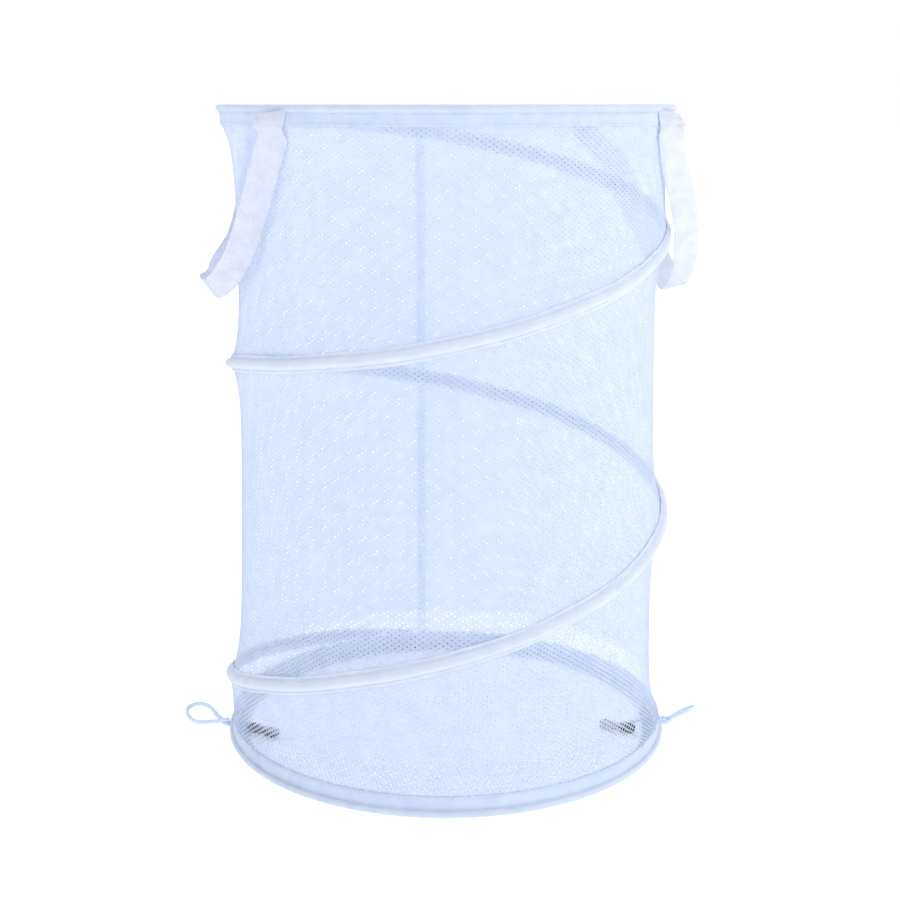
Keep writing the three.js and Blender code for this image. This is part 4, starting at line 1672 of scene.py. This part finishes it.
@dataclass
class Handle:
    """A webbing handle with its two sewn ends.

    Attributes:
        side: which side it is on.
        bottom_reach: how far from the axis the middle of its bottom hangs.
        drop: how far its bottom hangs below the rim's tape.
        bottom_tilt: how its width is tilted there.
        reach_powers: how the front and the rear half lean out: the higher, the sooner.
        drop_power: how it falls: the higher, the rounder its bottom.
        twists: the lengths over which the front and the rear end turn edge on.
        rear_flat: the length over which the rear end stays flat first.
        first_twist: how far the front end is turned edge on where it leaves the rim's tape.
        sewn_angle: how far from the X axis it is sewn on.
        bottom_share: the share of its half over which its width turns from the bottom's tilt.
        square_share: where its run starts to turn upright, towards its end.
        casing_half: half the width of the casing that it keeps clear of.
        casing_radius: the casing's distance from the axis.
        least_wall: the least distance from the axis that it keeps clear of.
        top_turn: how much of the turn of its start each sewn end has at its top.
        top_slant: how far its outer edge hangs there.
        lean_share: the place whose direction from the end the sewn end leans in.
        end_keep: the share of the webbing's thickness that a sewn end has.
        sewn_rows: the rows of the sewn end that are sewn across.
        bend: how far above the rim's lower edge the sewn end would start and stop to bend. It is not
            used.
    """

    side: Side
    bottom_reach: float
    drop: float
    bottom_tilt: float
    reach_powers: tuple[float, float]
    drop_power: float
    twists: tuple[float, float]
    rear_flat: float = 0.0
    first_twist: float = 0.8
    width: float = 0.0254
    thickness: float = 0.0015
    rib_pitch: float = 0.00155
    sewn_angle: float = 37.5
    bottom_share: float = 0.45
    square_share: float = 0.985
    casing_half: float = 0.0078
    casing_radius: float = 0.2106
    least_wall: float = 0.2015
    top_turn: float = 0.75
    top_slant: float = 0.15
    lean_share: float = 0.88
    collapsed_keep: float = 0.08
    end_keep: float = 0.96
    sewn_rows: tuple[int, ...] = (5, 9, 13, 17)
    sewn_half: float = 0.011
    bend: tuple[float, float] = (0.007, 0.0005)

    @property
    def end_radius(self) -> float:
        """Returns: the distance of the webbing's sewn ends from the axis."""
        return SIZES.band_outer_radius + SIZES.gap + self.thickness / 2

    def middle(self, share: Array) -> Array:
        """Finds the webbing's middle, before it is moved clear of the wall.

        Args:
            share: -1 at the front end to 1 at the rear.

        Returns:
            The middle, for the +X side.
        """
        angle = math.radians(self.sewn_angle)
        out = np.abs(share) ** np.where(share < 0, *self.reach_powers)
        reach = ease(self.bottom_reach, self.end_radius * math.cos(angle), out)
        height = SIZES.rim_edge - self.drop * (1 - np.abs(share) ** self.drop_power)
        return np.stack([reach, self.end_radius * math.sin(angle) * share, height], axis=-1)

    def ribbon(self, shares: Array) -> tuple[Array, Array, Array]:
        """Finds the webbing's run.

        Args:
            shares: places from the front end, -1, to the rear, 1.

        Returns:
            The middle, and the directions across the width and through the thickness.
        """
        middle = self.middle(shares)
        run = unit(self.middle(shares + 0.005) - self.middle(shares - 0.005))
        square = smoothstep(np.abs(shares), self.square_share, 1.0)[:, None]
        run = unit(ease(run, UP * np.sign(shares)[:, None], square))
        across = square_to(self.width_way(shares, middle), run)
        return self.leaned(middle, across), across, np.cross(run, across)

    def width_way(self, shares: Array, middle: Array) -> Array:
        """Finds the way that the width points: along the rim at the sewn ends, outward lower down.

        Args:
            shares: places from the front end to the rear.
            middle: the webbing's middle there.

        Returns:
            The directions, not yet square to the run.
        """
        front = shares < 0
        ends = self.middle(np.where(front, -1.0, 1.0))
        from_end = np.linalg.norm(ends - middle, axis=-1)
        at_end = around(np.where(front, 1, -1) * (90 - self.sewn_angle), 1.0, 0.0)
        hang = np.arctan2(self.bottom_reach - ends[:, 0], self.drop)
        turn = smoothstep(np.abs(shares), 0, self.bottom_share)
        tilt = ease(math.radians(self.bottom_tilt), hang, turn)
        below = np.stack([np.cos(tilt), 0 * tilt, np.sin(tilt)], axis=-1)
        flat, first = np.where(front, 0.0, self.rear_flat), np.where(front, self.first_twist, 0.0)
        turned = smoothstep((from_end - flat) / np.where(front, *self.twists), 0, 1)
        return ease(at_end, below, (first + (1 - first) * turned)[:, None])

    def leaned(self, middle: Array, across: Array) -> Array:
        """Moves the middle out to where the webbing clears the wall and its casing.

        Args:
            middle: the webbing's middle.
            across: the direction across its width.

        Returns:
            The middle, moved out.
        """
        inner = middle - across * self.width / 2
        reach = np.minimum(np.hypot(inner[:, 0], inner[:, 1]), np.hypot(middle[:, 0], middle[:, 1]))
        azimuth = np.degrees(np.arctan2(inner[:, 1], self.side.sign * inner[:, 0]))
        away = np.abs(inner[:, 2] - SPIRAL.height(SPIRAL.passes(azimuth)[0]))
        near = 1 - smoothstep(away, self.casing_half, 3 * self.casing_half)
        below = smoothstep(SIZES.rim_edge - inner[:, 2], 0, self.width / 2)
        mesh = np.maximum(WALL.radius(azimuth, inner[:, 2]) + 0.0009, self.least_wall)
        cloth = ease(SIZES.band_outer_radius, mesh, below)
        casing = near * smoothstep(SIZES.rim_edge - middle[:, 2], 0, self.width)
        wall = ease(cloth, self.casing_radius, casing)
        short = np.maximum(wall + SIZES.gap + self.thickness / 2 - reach, 0)
        return middle + np.stack([short * reach / inner[:, 0], 0 * short, 0 * short], axis=-1)

    def skin(
        self, name: str, middle: Array, across: Array, through: Array, thickness: float,
    ) -> Object:
        """Makes webbing with ribs and rounded edges.

        Args:
            name: the piece's name.
            middle: the middle of the webbing, for the +X side.
            across: the direction across its width.
            through: the direction through its thickness.
            thickness: the webbing's thickness.

        Returns:
            The webbing, on the handle's own side.
        """
        shares = np.linspace(-1, 1, 33)
        crown = (1 - np.abs(shares) ** 8) * 0.85 + 0.15
        ribs = 1 + 0.05 * np.cos(shares * self.width / 2 * 2 * np.pi / self.rib_pitch)
        half, wide = thickness / 2 * crown * ribs, shares * self.width / 2
        wide, deep = np.concatenate([wide, wide[::-1]]), np.concatenate([half, -half[::-1]])
        rings = middle[:, None] + wide[:, None] * across[:, None] + deep[:, None] * through[:, None]
        uv = cloth_uv(path_lengths(middle)[:, None], wide)
        return MeshMaker.tube(name, rings * self.flip, uv)

    @property
    def flip(self) -> Array:
        """Returns: what turns a point of the +X side into one of the handle's own side."""
        return np.array([self.side.sign, 1.0, 1.0])

    def build(self) -> None:
        """Makes the loop and both sewn ends."""
        side = self.side.value
        ribbon = self.ribbon(np.sin(np.pi / 2 * np.linspace(-1, 1, 161)))
        obj = self.skin(f"webbing_loop_{side}", *ribbon, self.thickness)
        dress(obj, FINISHES.webbing, f"{side}_handle", f"handle_{side}")
        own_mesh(obj)
        for place in Place:
            self.sewn_end(place)
        LOG.info("handle %s ready", side)

    def sewn_end(self, place: Place) -> None:
        """Makes a sewn end, which comes out from under the tube and bends where the loop swings.

        Args:
            place: which end.
        """
        side = self.side.value
        azimuth = self.sewn_angle * place.sign
        top = SIZES.height - 2 * SIZES.tube_radius + 2 * SIZES.gap
        out, level = around(azimuth, 1.0, 0.0), around(azimuth + 90, 1.0, 0.0) * -place.sign
        low_middle, low_across, low_through = (
            rows[0] for rows in self.ribbon(np.array([place.sign]))
        )
        hanging = low_middle - self.ribbon(np.array([self.lean_share * place.sign]))[0][0]
        high_across = ease(level, low_across, self.top_turn)
        high_across = unit(np.array([high_across[0], high_across[1], -self.top_slant]))
        inner_reach = self.width / 2 * abs(float(high_across @ out))
        high_middle = low_middle + hanging / hanging[2] * (top - low_middle[2])
        high_middle += out * (self.end_radius - 0.0004 + inner_reach - high_middle @ out)
        high_middle[2] = top
        shares = np.linspace(0, 1, 30)[:, None]
        middle, eased = ease(high_middle, low_middle, shares), smoothstep(shares, 0.0, 1.0)
        upright = np.cross(low_across, low_through)
        way = (high_middle - low_middle) * float(np.sign(upright[2])) / abs(top - low_middle[2])
        run = unit(ease(way, upright, eased))
        across = unit(ease(high_across, low_across, eased))
        through = unit(np.cross(run, across))
        name = f"{side}_{place.value}"
        thickness = self.thickness * self.end_keep
        obj = self.skin(f"webbing_end_{name}", middle, across, through, thickness)
        dress(obj, FINISHES.webbing, "", f"handle_end_{name}")
        sewing = StitchRun(f"end_stitches_{name}")
        outer = through * np.sign(through @ out)[:, None]
        places = np.linspace(-self.sewn_half, self.sewn_half, 24)[:, None]
        for row in self.sewn_rows:
            line = middle[row] + across[row] * places + outer[row] * self.thickness / 2
            sewing.add(line * self.flip, np.broadcast_to(outer[row] * self.flip, line.shape))
        for piece in (obj, sewing.finish("")):
            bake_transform(piece)


@dataclass
class Hamper:
    """The whole hamper."""

    loops: list[ClosureLoop] = field(default_factory=lambda: [
        ClosureLoop(Side.LEFT, azimuth=172.5, reach=0.044, drift=-0.019, roll=-27),
        ClosureLoop(Side.RIGHT, azimuth=-14.2, reach=0.034, drift=0.017, roll=-26),
    ])
    toggles: list[Toggle] = field(default_factory=lambda: [
        Toggle(Side.LEFT, azimuth=181, radius=0.1795, turn=-42.5, cord_points=(
            (-203.2, 17.6, 9), (-199.6, 17.6, 8.4), (-196, 17.6, 7), (-191, 17.4, 5),
            (-186, 16.2, 4),
            (-181, 13.6, 3.1), (-176.5, 10.3, 3.1), (-173.2, 6.8, 3.5), (-172.4, 3.9, 4.6),
            (-174.2, 1.8, 5.8), (-177.1, -0.5, 6.3),
        )),
        Toggle(Side.RIGHT, azimuth=-21.5, radius=0.1679, turn=-33.8, cord_points=(
            (197.4, -51.1, 9), (193.9, -50.2, 8.6), (190.4, -49.3, 7.2), (186.2, -48.1, 5.2),
            (181.8, -47.2, 4), (177, -46.6, 3.1), (172.4, -46.6, 3.1), (168, -47.6, 3.2),
            (164.2, -49.4, 3.8), (161.6, -52, 4.9), (160, -55.2, 5.9), (158.2, -58.5, 6.3),
        )),
    ])
    handles: list[Handle] = field(default_factory=lambda: [
        Handle(
            Side.LEFT, bottom_reach=0.2225, drop=0.146, bottom_tilt=56,
            reach_powers=(1.85, 1.3), drop_power=3.0,
            twists=(0.027, 0.08), rear_flat=0.112,
        ),
        Handle(
            Side.RIGHT, bottom_reach=0.2252, drop=0.157, bottom_tilt=12,
            reach_powers=(2.4, 2.4), drop_power=1.5,
            twists=(0.0154, 0.046),
        ),
    ])

    def build(self) -> None:
        """Makes every piece, cords first."""
        bands = [HoopBand(level) for level in Level]
        for part in (
            *self.loops, *self.toggles, MeshWall(), MeshFloor(), *bands,
            SpiralCasing(), FlatTape(), *self.handles,
        ):
            part.build()
        self.dress_wires()

    @staticmethod
    def dress_wires() -> None:
        """Gives the two hoops and their sleeves their steel."""
        for level in Level:
            for part in ("hoop_wire", "hoop_ferrule"):
                node = bpy.data.objects[f"{level.value}_{part}"]
                for slot in node.material_slots:
                    slot.material = FINISHES.steel.material()
                if not node.material_slots:
                    node.data.materials.append(FINISHES.steel.material())


def main() -> None:
    """Dresses the frame."""
    logging.basicConfig(level=logging.INFO, format="%(message)s")
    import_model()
    PhotoCamera().build()
    Studio().build()
    Hamper().build()


if __name__ == "__main__":
    main()
